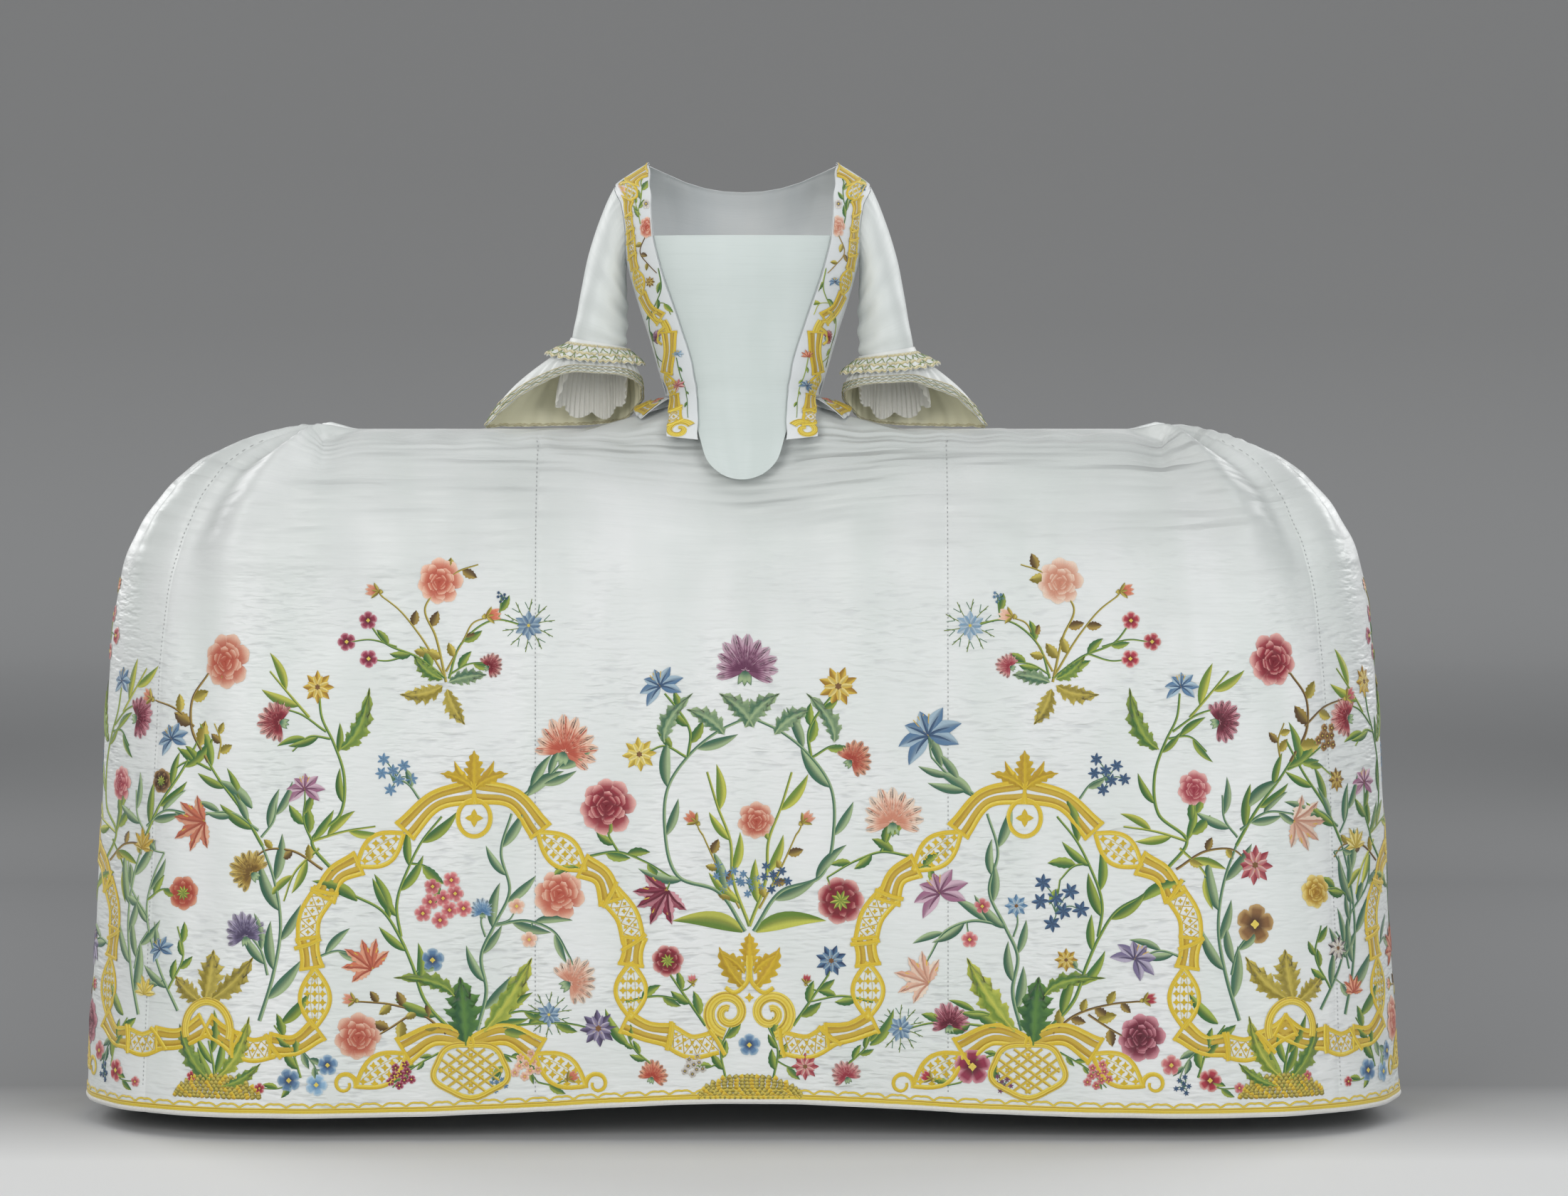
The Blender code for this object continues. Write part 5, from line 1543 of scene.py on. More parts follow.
def poppy(work, x, z, r, colour, turn=0.0):
    work.ring(7, "petal", x, z, turn, r, r, DYES[colour], PETAL_LIFT, inner=0.92)
    inside = shades(DYES[colour], -0.3)
    work.ring(6, "petal", x, z, turn + 30, r * 0.7, r * 0.7, inside, 0.0014, inner=0.92)
    work.ring(9, "leaf", x, z, turn, r * 0.45, r * 0.18, GREENS["bright"], 0.0020)


def bud(work, x, z, r, colour, turn=0.0):
    for k in (-1, 1, 0):
        work.shape("drop", x, z, turn + 20 * k, r * 1.35, r * 0.7, DYES[colour], 0.0014 - 0.0002 * abs(k))
    for k in (-1, 0, 1):
        work.shape("leaf", x, z, turn + 42 * k, r * 0.95, r * 0.36, GREENS["olive"], 0.0015, 0.2 * k)
    work.shape("drop", x, z, turn + 180, r * 0.45, r * 0.5, GREENS["olive"], 0.0016)


def leaf(work, x, z, turn, length, width, green="leaf", bend=0.2, teeth=0.0):
    work.shape("leaf", x, z, turn, length, width, GREENS[green], 0.0009, bend, teeth=teeth)


def arc_from(x, z, turn, length, bend):
    """Points of a stem that leaves at that turn and bends sideways."""
    u = np.linspace(0, 1, 6)
    forward = towards(x, z, turn, length * u)
    return np.stack(towards(*forward, turn + 90, length * bend * u**2), axis=1)


def lobed_leaf(work, x, z, turn, length, width, colours, bend=0.0, teeth=0.0):
    """A curved leaf with lobes down both sides, as an acanthus leaf is drawn, on a raised rib."""
    work.shape("lobed", x, z, turn, length, width, colours, 0.0011, bend, 0.0014, teeth)
    work.band(arc_from(x, z, turn, length * 0.86, bend * 0.86), 0.0021, [colours[1]], 0.0027, taper=0.65)


FLOWERS = {made.__name__: made for made in (
    rose, carnation, daisy, five, cluster, bells, tulip, lily, fennel, poppy, bud)}
print("flowers:", ", ".join(FLOWERS))

# %% [markdown]
# The gold-yellow ribbon of the design is itself embroidered: straps of laid silk, pointed ovals filled
# with small four-petalled flowers, and stretches of lattice, one after another, each with a raised edge.

# %% Ribbon work
STRAP_STRIPES = [GOLD_PALE, GOLD_DEEP, GOLD_PALE, GOLD, GOLD_PALE, GOLD_DEEP, GOLD_PALE]
LAID_STRIPES = [GOLD_LAID, GOLD_LAID, GOLD_DEEP]
EDGE_STRIPES = [GOLD_PALE, GOLD, GOLD]
EDGE_WIDTH = 0.0064


def edge_pair(work, path, reach):
    """A raised edge along both sides of a path."""
    for side in (-1, 1):
        work.band(path + side * reach, EDGE_WIDTH * work.scale, EDGE_STRIPES[::side], 0.0012)


def strap(work, points, width, first=1.14, last=1.14):
    """Two strips of laid silk with the cloth between them, and raised edges that flare at both ends."""
    path, right = path_through(points, 9)[:2]
    u = np.linspace(-1, 1, 9)
    reach = width * right * (0.88 + (np.where(u < 0, first, last) - 0.88) * u**2)[:, None]
    for side in (-1, 1):
        work.band(path + side * reach * 0.19, width * 0.26, LAID_STRIPES[::side], 0.0008)
    edge_pair(work, path, reach * 0.41)
    for end in (0, -1):
        ends = [path[end] - reach[end] / 2, path[end] + reach[end] / 2]
        work.band(ends, EDGE_WIDTH * 0.8 * work.scale, EDGE_STRIPES, 0.0015)


def four_petals(work, x, z, r, turn=0.0):
    work.ring(4, "speck", x, z, turn, r, r * 0.72, GOLDS, 0.0010)


def pointed_oval(work, points, width):
    """Two bowed edges that meet in points, with rows of small flowers and fine threads between them."""
    first, last = np.array(points)
    path, right, place = path_through(points, 15)
    reach = right * np.sin(np.pi * place / place[-1])[:, None] * width * 0.45
    edge_pair(work, path, reach)
    for side in (-1, 1):
        work.band((path + side * reach * 0.29)[2:-2], 0.0010 * work.scale, [GOLD_PALE], 0.0008)
    rows = max(2, round(place[-1] / (0.0125 * work.scale)))
    for k in range(1, rows):
        half = width * 0.45 * math.sin(math.pi * k / rows) - 0.0075 * work.scale
        count = max(0, int(half / (0.0110 * work.scale) + 0.35))
        for j in range(-count, count + 1):
            place = mixed(first, last, k / rows) + right[7] * j * 0.0112 * work.scale
            four_petals(work, *place, 0.0056 * work.scale)


def lattice(work, points, width):
    """Crossed threads between two edges, with a flower in every gap and a tie at both ends."""
    path, right, place = path_through(points, 13)
    edge_pair(work, path, right * width * 0.42)
    count = 2 * max(2, round(place[-1] / (0.0155 * work.scale)))
    fine, right_of_fine = path_through(points, count + 1)[:2]
    reach = right_of_fine * width
    for k in range(0, count - 1, 2):
        for side in (-1, 1):
            crossed = [fine[k] + reach[k] * side * 0.34, fine[k + 2] - reach[k + 2] * side * 0.34]
            work.band(crossed, 0.0013 * work.scale, [GOLD], 0.0009, per=0.007)
            four_petals(work, *(fine[k + 1] + reach[k + 1] * side * 0.20), 0.0034 * work.scale, 45)
        four_petals(work, *fine[k], 0.0040 * work.scale)
    for end in (0, -1):
        across = right[end] * width * 0.56
        slant = np.array([-right[end][1], right[end][0]]) * width * 0.22
        bends = (-across - slant, -across * 0.3 - slant * 0.1, across + slant)
        tie = [path[end] + bend for bend in bends]
        work.band(tie, EDGE_WIDTH * 0.95 * work.scale, EDGE_STRIPES, 0.0021, dome=0.0007)


def oval_line(x, z, half_width, half_height, turn):
    return np.stack([x + half_width * np.sin(turn), z + half_height * np.cos(turn)], axis=1)


def scroll(work, x, z, r, turns, start, hand, width, stripes=STRAP_STRIPES, shrink=0.80):
    """A spiral that winds in and grows thinner: hand is +1 clockwise."""
    u = np.linspace(0, 1, 40)
    reach = r * (1 - shrink * u)
    line = oval_line(x, z, reach, reach, math.radians(start) + hand * 2 * math.pi * turns * u)
    work.band(line, width, stripes, 0.0011, taper=0.45)


def basket(work, x, z, half_width, half_height):
    """A rounded basket: crossed gold bands with a flower in every gap, inside a scalloped edge."""
    turn = np.linspace(0, 2 * np.pi, 41)
    swell = 1 + 0.05 * np.sin(5 * turn - np.pi / 2)
    edge = oval_line(x, z, half_width * swell, half_height * swell, turn)
    work.band(edge, 0.0085, STRAP_STRIPES[:5], 0.0014)
    size = np.array([half_width, half_height])
    for first in np.linspace(-0.66, 0.66, 5):
        for side in (-1, 1):
            centre = np.array([x, z]) + np.array([side, 1]) * first * size * 0.60
            along = np.array([side, -1.0]) * math.sqrt(1 - first**2) * 0.62 * size
            work.band([centre - along, centre + along], 0.0040, [GOLD_PALE, GOLD_LAID], 0.0012)
    for row in range(-2, 3):
        for column in range(-2, 3):
            if row * row + column * column < 8 and (row + column) % 2 == 0:
                flower_x, flower_z = np.array([x, z]) + np.array([column, row]) * size * 0.28
                four_petals(work, flower_x, flower_z, 0.0048, 45)


def mound(work, x, z, half_width, height):
    """A hillock in rows of overlapping tufts, yellow above and brown below."""
    for k in range(7):
        reach = half_width * math.sqrt(1 - (k / 7) ** 2)
        count = int(2 * reach / 0.0075)
        for i in range(count + 1):
            along = reach * (2 * i / count - 1)
            high = height * k / 7 * (1 - 0.35 * (along / half_width) ** 2)
            tone = GREENS["olive"] if (i + k) % 3 else GOLDS
            lean = 25 * math.sin(7 * i + k)
            work.shape("drop", x + along, z + high, lean, 0.008, 0.008, tone, 0.0009 + 0.0001 * k)
    u = np.linspace(-1, 1, 15)
    arch = np.stack([x + half_width * u, z + height * (1 - u**2)], axis=1)
    work.band(arch, 0.0022, [GREENS["olive"][2]], 0.0012)


def ribbon_piece(work, kind, points, widths=(0.033, 0.048, 0.035)):
    """widths are those of a strap, an oval and a lattice."""
    if kind == "strap":
        strap(work, points, widths[0])
    elif kind == "tail":
        strap(work, points, 0.036, 0.40, 1.25)
    elif kind == "oval":
        pointed_oval(work, points, widths[1])
    else:
        lattice(work, points, widths[2])


# %% [markdown]
# The design is worked out for one half and turned over for the other, with other flowers and dyes in the
# same places. It is an ordinary pattern of its time: an arch of ribbon with a basket at its foot, a ring
# of ribbon beyond it, and stems that rise through both. All tables are in centimetres: d is the distance
# from the middle seam, z the height from the waist, down the cloth.

# %% The stems
MIDDLE_X = 0.011
STEM_THICKER = 1.7

# Columns: green, thickness in mm, leaves, leaf length, then the path as d and z in turn
STEMS = rows_of("""
olive 2.4 2 3  43 -40  44.5 -33.5  46 -29.5  44.5 -27
olive 2 2 2.8  43.3 -39  47 -33  50 -29.5  52 -28
olive 2 2 2.4  43 -38.5  40.5 -34  39 -31.5  37.6 -31
leaf 2.2 1 3  42.6 -39.5  41 -34.8  36 -31.2  32 -32
leaf 2.4 3 3.4  43 -39.5  47 -36.5  52 -34.2  54 -31.6
leaf 1.8 0 2  50 -35  54 -34  57 -34.4
leaf 1.8 0 2  48 -36  51.5 -37  54 -36.7
leaf 1.8 2 3  42.6 -39  40 -37.5  36.4 -37.2
olive 1.8 2 3  43.4 -26  41.4 -24.4  38.5 -23.4
teal 3.6 5 6.5  69.5 -88  67.5 -81.5  66.5 -74.5  67.5 -67.5  69 -63.2
leaf 3.2 4 5.5  69 -63.2  72 -58.3  75.7 -53.4  78.6 -48.5
brown 3.2 3 4.2  77 -51.5  79.4 -46.5  79.4 -42.5  77 -39
brown 2.2 1 3  79 -46.5  82 -44  85 -43
olive 2 3 2.6  75.5 -51  75 -48.5  76 -46
leaf 2.2 1 3.2  76.5 -52.6  80 -51.5  83 -53.6
leaf 2.2 1 3.2  76.5 -52.6  79.6 -51  81.6 -49.6
teal 2.6 3 4.6  69.6 -61  73.5 -58.6  78 -59
teal 2.4 2 5  69.2 -62  67.4 -59.5  67 -56
brown 2.4 3 2.6  60.5 -66.5  65 -63.8  69 -64  70.6 -65.4
teal 2.6 2 5  68.3 -81.5  69.3 -78  70.8 -76
leaf 3.2 3 4.6  59 -66.7  62 -62.5  58 -58.7  57.4 -53.4  59 -48.4  60.6 -45  61 -41.6
leaf 2.2 0 3  60 -47  63.7 -44.5  66.8 -43.6
bright 2.6 2 5.5  62.4 -45  65.5 -41.4  68 -38.5
leaf 2.2 2 4.2  59.4 -48  62.3 -47.7  64.8 -49.8
leaf 2.4 3 4  62 -62.5  63.2 -59.4  63 -56.8
bright 2.4 2 4.6  62 -62.5  57 -61  53 -60.4
bright 2.4 2 4.6  61 -63.5  64.5 -67  66 -71
teal 2.2 1 2.8  46.8 -56.5  48.4 -54.4  50.6 -53.4
teal 3 4 4.6  81.5 -87  84.6 -80  86 -71.7  85 -67.5  83.4 -64.6
leaf 2.2 2 3.4  86 -71.5  83.6 -69.8  81.6 -70
leaf 2.4 4 3  83 -84  80.6 -79  81.6 -75
teal 2.4 2 3.4  86.2 -74  89 -69  89.4 -65.6
leaf 2.2 4 3  92 -60  90 -57.5  88 -52  87 -49.5
leaf 3.4 4 5.6  41.5 -90  46 -85  47.8 -80  49.6 -76  52 -72.4  56.3 -70
leaf 2.8 4 5.6  49.4 -76  50 -71.7  48.2 -66  46.4 -62.5  43.6 -59
leaf 2.2 1 4  48.2 -65.6  46 -66  44 -68
teal 1.8 1 2.4  47.2 -81  46.2 -80.4  45.2 -79.8
teal 2.4 2 4.4  61.5 -79  58 -78  56 -78.6
brown 2.4 6 2.8  43 -89.7  46 -87.2  51 -85.6  55 -85.2
brown 2.2 2 3.2  48 -87  51 -89  53.4 -90.4
teal 3.4 7 5.4  38.6 -89.3  37.3 -83.7  38 -78.7  36.2 -74.5  34 -69.6  35.2 -64  33.7 -58.6
teal 2 0 2.4  37.4 -76  38 -74  37.9 -72.6
teal 1.8 0 2  36 -74.2  34 -73.6  33.2 -72.4
teal 2.8 3 5  36.2 -74.4  31.3 -73.8  27.8 -75.2  25.4 -79
leaf 2.2 2 3  23.5 -66.5  25.4 -66  26.4 -68
leaf 2.4 3 4.4  38 -89.2  32.7 -86.6  29 -87
leaf 2.4 3 4  38 -89.6  31.3 -88.4  25 -88.4  22.6 -89
teal 3.4 5 6  0.6 -75.2  4.5 -69.6  10 -67.5  12 -60.4  11.5 -54.8  8.7 -50.5  4.5 -47  0.3 -45
leaf 2.8 3 3.6  8.7 -50.5  8.4 -47  10.5 -43.4  12 -41.6
leaf 2.4 1 3  8.9 -50.6  12.2 -49  14.6 -50
leaf 2.4 3 3.6  22.8 -64.6  18.6 -64  15 -65.3  11 -67.6
leaf 2.4 2 3  18.6 -64  20 -61.4  20.3 -59.6
teal 2.8 4 5  32 -56  28.5 -53.4  25.8 -50.6
bright 3 4 5.4  0 -74.5  2.4 -67.5  2.7 -62.5  4.5 -57.6  6 -52.7
olive 2 4 2.6  1.4 -72  4.6 -66  6.6 -61.6
leaf 2.8 3 3.6  6.2 -88.6  8.7 -85  11.2 -81.4
leaf 2.4 2 3.2  17.5 -85.2  13 -84.4  8.6 -85.2
leaf 2.2 4 3  3.4 -96  4 -92  2.6 -88.6
leaf 3 4 5.2  76 -98.5  76.2 -94.5  77 -91
leaf 2.2 4 3.4  63.6 -96  65 -92  67.4 -88.6
teal 1.8 3 2.6  64 -91.5  61.6 -94.5  61 -96
teal 1.8 3 2.2  92 -95  89.5 -91.6  88 -89
leaf 2 4 2.4  14 -94  16.5 -91.6  17.4 -89.4
leaf 1.8 5 1.8  36 -92.4  32.4 -93.6  30 -96.6
leaf 1.8 5 1.8  44 -92.4  48 -94.8  50.6 -97.4
""")
# Columns: green, length, width as a share of it, turn from straight up towards the outside, bend, d, z
ACANTHUS = rows_of("""
olive 5.6 0.55 128 -0.5 43.5 -40.5
olive 5.4 0.55 190 0.3 42.8 -41
leaf 5 0.5 72 -0.4 43.5 -39.6
teal 5.4 0.5 -68 -0.2 42.6 -40
leaf 7.8 0.42 -62 0.75 58 -49.5
teal 5.8 0.55 30 0.5 3.6 -47.4
teal 6.4 0.55 -24 -0.4 0.6 -46.4
teal 6 0.5 12 -0.9 12 -48.5
deep 9.8 0.62 2 0.05 40.2 -91.4
bright 12.4 0.34 -42 0.16 37.6 -89.4
leaf 6.8 0.4 32 0.9 41.8 -84.4
olive 7.4 0.66 -14 0.1 77.4 -85.4
olive 8.6 0.42 -62 0.3 76.6 -85.2
olive 5.6 0.6 62 -0.2 78 -85.6
leaf 8.6 0.4 58 -0.45 76.6 -96.6
bright 9 0.34 -54 0.5 75.6 -96.2
leaf 6.2 0.34 -78 0.35 75 -97.4
""")
# The broad plain leaves: green, length, turn, bend, then d and z
BROAD_LEAVES = rows_of("""
bright 9 52 0.55 0.8 -75.4
leaf 6.4 40 0.5 55.5 -71
teal 6 -34 -0.4 31.6 -56.2
teal 6.6 34 0.4 70.5 -58
leaf 6 -60 0.3 66.5 -88.4
leaf 5.6 60 -0.5 17 -91.4
""")
print("stems:", len(STEMS), "and", len(ACANTHUS), "acanthus leaves, for each half")

# %% [markdown]
# Every flower of one half has its place, its size and its turn, and below it two flowers to choose from.
# The two halves of the petticoat take turns, so that they answer each other without being copies.

# %% The flowers and the ribbon
# Columns: d, z, radius, turn from straight up towards the outside, then kind and dye for each side
FLOWER_PLACES = rows_of("""
44 -25.9 3.3 0 rose salmon rose peach
52.6 -27.2 1.5 80 bud salmon bud coral
37.3 -30.7 1.6 -80 bud coral bud peach
31.3 -32 3 0 fennel blue fennel sky
35.2 -28 1 0 bells blue bells sky
54.1 -31.3 1.3 0 five wine five red
57.1 -34.3 1.3 20 five wine five red
54 -36.7 1.3 40 five wine five red
36.1 -37.3 1.7 -60 carnation red carnation rose
74.5 -37.2 3.9 15 rose salmon rose red
85.6 -42.8 1.7 70 bud salmon bud rose
61.2 -40.7 2.4 0 daisy yellow lily blue
68 -45.2 2.9 75 carnation red carnation wine
82.2 -48.4 2.5 20 lily blue cluster brown
83.8 -54.4 1.8 0 poppy brown daisy ochre
79.2 -60.4 3.4 105 tulip coral tulip peach
63 -55.2 2.6 0 lily mauve rose rose
71.8 -66 2.9 50 carnation ochre daisy rose
80.6 -70.2 2.5 30 poppy coral rose yellow
71.8 -74.4 2.9 10 carnation violet five brown
50.5 -53 3.4 0 bells sky bells blue
88.6 -54.8 2.9 20 rose coral rose peach
89.6 -64.2 2.2 30 daisy blue daisy rose
86.6 -63.2 2 -10 tulip yellow tulip lemon
84 -78.4 2 20 lily blue daisy white
86.6 -84 1.8 0 tulip lemon tulip coral
94 -72 2.2 0 daisy red rose wine
95.5 -88 2.6 0 rose coral daisy mauve
43.4 -71.2 4.6 0 cluster rose bells blue
37.8 -71.6 1.7 0 carnation sky daisy sky
44.9 -79.3 1.7 0 five blue daisy yellow
27 -69.9 3.6 -20 rose salmon lily mauve
54.6 -79.2 3 40 tulip coral lily violet
20.3 -57.5 4 0 rose red carnation peach
23.8 -81.6 3.2 -60 carnation peach tulip peach
33 -71.7 1.2 0 five peach five rose
31.2 -76.4 1.2 0 five peach five rose
55.4 -90.3 3.4 0 rose salmon rose wine
55.9 -85 1.4 80 bud salmon bud red
28.4 -87 2.6 0 fennel blue carnation wine
21.4 -89 2.7 -40 daisy violet fennel blue
25.4 -47.6 4.2 -20 carnation salmon lily blue
12.6 -40.6 2.9 20 lily blue daisy yellow
15.6 -50.2 2.5 50 daisy lemon carnation coral
7.5 -59.8 1.5 50 bud coral bud salmon
12.9 -70.9 3.4 140 tulip wine poppy red
11.6 -79.4 2.3 20 poppy red daisy blue
8 -82.6 1 10 bud rose bud red
3.4 -67.6 2.6 0 bells sky bells blue
13.4 -94.8 2 -20 carnation coral carnation rose
7.9 -94.4 2 0 cluster white daisy rose
31.6 -94.4 2.6 0 cluster peach five wine
49.4 -95.8 2.4 0 cluster wine cluster rose
25.8 -96.2 1.3 -60 bud coral bud red
35.8 -96.8 1.6 0 bells sky bells mauve
65.3 -96.4 1.7 20 five blue five red
61.4 -97 1.6 50 five sky bells blue
59.8 -94.2 1.5 0 five blue five rose
69.6 -97.6 0.8 0 five red five rose
79.4 -96.2 0.8 0 five red five rose
88.6 -94.2 2.6 0 bells sky bells violet
""")
# The flowers on the middle seam. Columns: x, z, radius, turn, kind, dye
MIDDLE_FLOWERS = rows_of("""
-0.4 -36 4.2 4 carnation mauve
1 -59.7 2.7 0 rose salmon
0 -91.3 1.6 0 five blue
0 -68.5 2.2 0 bells sky
""")
# The ribbon. Columns: kind, then its places as d and z in turn
RIBBON = rows_of("""
strap  39 -55.4  44.5 -56.8  48.8 -61
oval  49 -61.4  55.6 -66
strap  55.4 -65.6  58.5 -67.2  60.3 -70.4
lattice  60.2 -69.6  62.4 -73.4  62.6 -77
strap  62.6 -76.2  62 -80.4
oval  61.6 -80.4  61.6 -89
strap  61.2 -89.2  64.5 -91.4  68 -91.4
lattice  67.6 -91.6  70.6 -92.2  73.4 -91.2
strap  73 -91.2  77 -88.8
strap  39 -55.4  33.5 -56.4  29.6 -61
oval  30 -61.2  23.2 -66.6
strap  23.6 -66  21 -67.4  19.6 -71
lattice  19.8 -70  17.4 -73  16.4 -76.8
strap  16.3 -76.2  16.8 -80
oval  16.8 -79.6  16.8 -87.6
strap  17.6 -88  14.5 -89.4  11 -90
lattice  11.4 -90  8.4 -91.6  4.6 -91
tail  39.8 -90.8  44.5 -89.8  49 -92.2
oval  48.6 -92.6  55.8 -97.2
tail  39.2 -90.8  34.5 -89.8  30 -92.2
oval  30.4 -92.6  23.2 -97.2
""")
print("flowers:", len(FLOWER_PLACES), "places in each half; ribbon:", len(RIBBON))

# %% [markdown]
# Every place is first read as seen from the front. Where the cloth turns round to the side, that view is
# undone, so that the motifs keep their size on the cloth.

# %% From the front view to the cloth, and on to the surface
VIEW_ROWS = np.linspace(60, 300, 25).astype(int)
LOW_ROW = 40
LOOK_STEP = 4


def cloth_of_view(x, z):
    """The length round the hem of a place seen at x and z from the front."""
    side = 1 if x >= 0 else -1
    front = SKIRT[VIEW_ROWS, CENTRE_COLUMN:] if side > 0 else SKIRT[VIEW_ROWS, CENTRE_COLUMN::-1]
    row = np.abs(front[:, 0, 2] - z).argmin()
    seen = np.maximum.accumulate(side * front[row, :, 0])
    last = seen.argmax() + 1
    return side * float(np.interp(side * x, seen[:last], FINE_S[CENTRE_COLUMN:][:last]))


def onto_petticoat(flat, lift):
    """The place in space of each (cloth length, height), at its lift above the silk."""
    s = round_hem(flat[:, 0])
    column = ((s + HALF_ROUND) / (2 * HALF_ROUND) * (len(FINE_S) // LOOK_STEP)).round().astype(int)
    t = np.empty(len(s))
    for k in np.unique(column):
        chosen = column == k
        heights = np.minimum.accumulate(SKIRT[LOW_ROW:, k * LOOK_STEP, 2])
        t[chosen] = np.interp(-flat[chosen, 1], -heights, FINE_T[LOW_ROW:])
    near, out = (look_up(values, FINE_S, FINE_T, s, t) for values in (SKIRT, SKIRT_OUT))
    return near + out * lift[:, None]


# The middle of the design behind, as a length round the hem, and where the front starts to turn away
BACK_MIDDLE = 1.580
FRONT_TURNS = 0.55


def place_of(d, z, side, part):
    """A table's place in metres on the cloth. The side's design is the front's, turned over."""
    d, z = d * 0.01, z * 0.01
    if part == "front":
        x = MIDDLE_X + side * d
        return (cloth_of_view(x, z) if abs(x) > FRONT_TURNS else x), z
    return side * (BACK_MIDDLE + (d if part == "behind" else -d)), z


def two_by_two(values):
    return zip(values[::2], values[1::2])


def path_of(values, side, part):
    return [place_of(d, z, side, part) for d, z in two_by_two(values)]


def leafy_stem(work, points, green, thick, leaves, long):
    """A stem that narrows towards its tip, with leaves on both sides in turn."""
    deep, light, middle = GREENS[green]
    work.band(points, thick, [deep, middle, light], 0.0007, taper=0.35)
    path = path_through(points, 4 * leaves + 5)[0]
    for k in range(leaves):
        at = 4 * k + 3
        hand = (-1) ** k * (1 if leaves % 2 else -1)
        ahead = path[at + 1] - path[at - 1]
        turn = math.degrees(math.atan2(ahead[0], ahead[1])) + 36 * hand
        length = long * (1.0 - 0.10 * (k % 3))
        if green in ("olive", "brown"):
            twig = ("olive", "brown")[k % 2]
            leaf(work, *path[at], turn + 20 * hand, length * 0.9, length * 0.56, twig, -0.1 * hand, 0.22)
        elif long > 0.04:
            bend = (-0.20 - 0.14 * (k % 2)) * hand
            leaf(work, *path[at], turn, length * 1.15, length * 0.27, green, bend)
        else:
            leaf(work, *path[at], turn, length, length * 0.42, green, -0.25 * hand, 0.14)


def stem(work, green, thick, leaves, long, values, side, part):
    thick = STEM_THICKER * thick * 0.001
    leafy_stem(work, path_of(values, side, part), green, thick, int(leaves), long * 0.01)


STALK_REACH = 9.0
STEM_STEPS = 30
STEM_PLACES = np.concatenate([path_through(np.reshape(row[4:], (-1, 2)), STEM_STEPS)[0] for row in STEMS])


def stalk(work, d, z, r, side, part):
    """Joins a flower to the nearest stem, where none runs right up to it."""
    away = np.linalg.norm(STEM_PLACES - (d, z), axis=1)
    near = away.argmin()
    if 0.6 * r < away[near] < STALK_REACH:
        start_d, start_z = STEM_PLACES[near]
        values = (start_d, start_z, (start_d + d) / 2, (start_z + z) / 2 - 0.14 * away[near], d, z)
        stem(work, STEMS[near // STEM_STEPS][0], 1.6, away[near] / 3, 2.6, values, side, part)


def half_design(greens, flowers, gold, side, first, last, part):
    """Works all that lies between two values of d on one side, with its turns to match."""
    def within(rows, d_column):
        return [row for row in rows if first <= row[d_column] < last]

    which = 4 if (side < 0) == (part != "side") else 6
    hand = -side if part == "side" else side
    for green, thick, leaves, long, *values in within(STEMS, 4):
        stem(greens, green, thick, leaves, long, values, side, part)
    for green, length, width, turn, bend, d, z in within(ACANTHUS, 5):
        place, size = place_of(d, z, side, part), (length * 0.01, length * 0.01 * width)
        lobed_leaf(greens, *place, hand * turn, *size, GREENS[green], hand * bend, 0.16)
    for green, length, turn, bend, d, z in within(BROAD_LEAVES, 4):
        place = place_of(d, z, side, part)
        leaf(greens, *place, hand * turn, length * 0.01, length * 0.0027, green, hand * bend)
    for row in within(FLOWER_PLACES, 0):
        d, z, r, turn = row[:4]
        stalk(greens, d, z, r, side, part)
        kind, colour = row[which : which + 2]
        FLOWERS[kind](flowers, *place_of(d, z, side, part), r * 0.01, colour, hand * turn)
    for kind, *values in within(RIBBON, 1):
        ribbon_piece(gold, kind, path_of(values, side, part))


# %% [markdown]
# A few things occur once in a half or on the middle seam: the leaves and the ring on the arch, the
# basket, the curled ends beside it, the hillock, and two scrolls with gold leaves between them.

# %% The gold details
def gold_details(gold, side, part):
    hand = -side if part == "side" else side
    x, z = place_of(39, -55.2, side, part)
    for turn, length, width in ((0, 0.056, 0.030), (38, 0.048, 0.022), (-38, 0.048, 0.022)):
        lobed_leaf(gold, x, z, turn, length, width, GOLDS, 0.5 * np.sign(turn))
    for turn in (68, -68):
        gold.shape("leaf", x, z + 0.004, turn, 0.040, 0.013, GOLDS, 0.0014, -0.6 * np.sign(turn))
    x, z = place_of(39, -59.2, side, part)
    ring = oval_line(x, z, 0.023, 0.026, np.linspace(0, 2 * np.pi, 25))
    gold.band(ring, EDGE_WIDTH, EDGE_STRIPES, 0.0013)
    four_petals(gold, x, z, 0.013)
    basket(gold, *place_of(39.5, -94.9, side, part), 0.052, 0.038)
    for d, turned in ((57.4, hand), (21.6, -hand)):
        place = place_of(d, -96.9, side, part)
        scroll(gold, *place, 0.017, 1.1, -110 * turned, turned, 0.0075, EDGE_STRIPES, 0.6)
    if part == "front":
        x, z = place_of(77, -89.4, side, part)
        ring = oval_line(x, z, 0.036, 0.040, np.linspace(-1.9, 1.9, 17))
        gold.band(ring, 0.0115, STRAP_STRIPES, 0.0019, dome=0.0010)
        mound(gold, *place_of(76, -99.2, side, part), 0.064, 0.034)


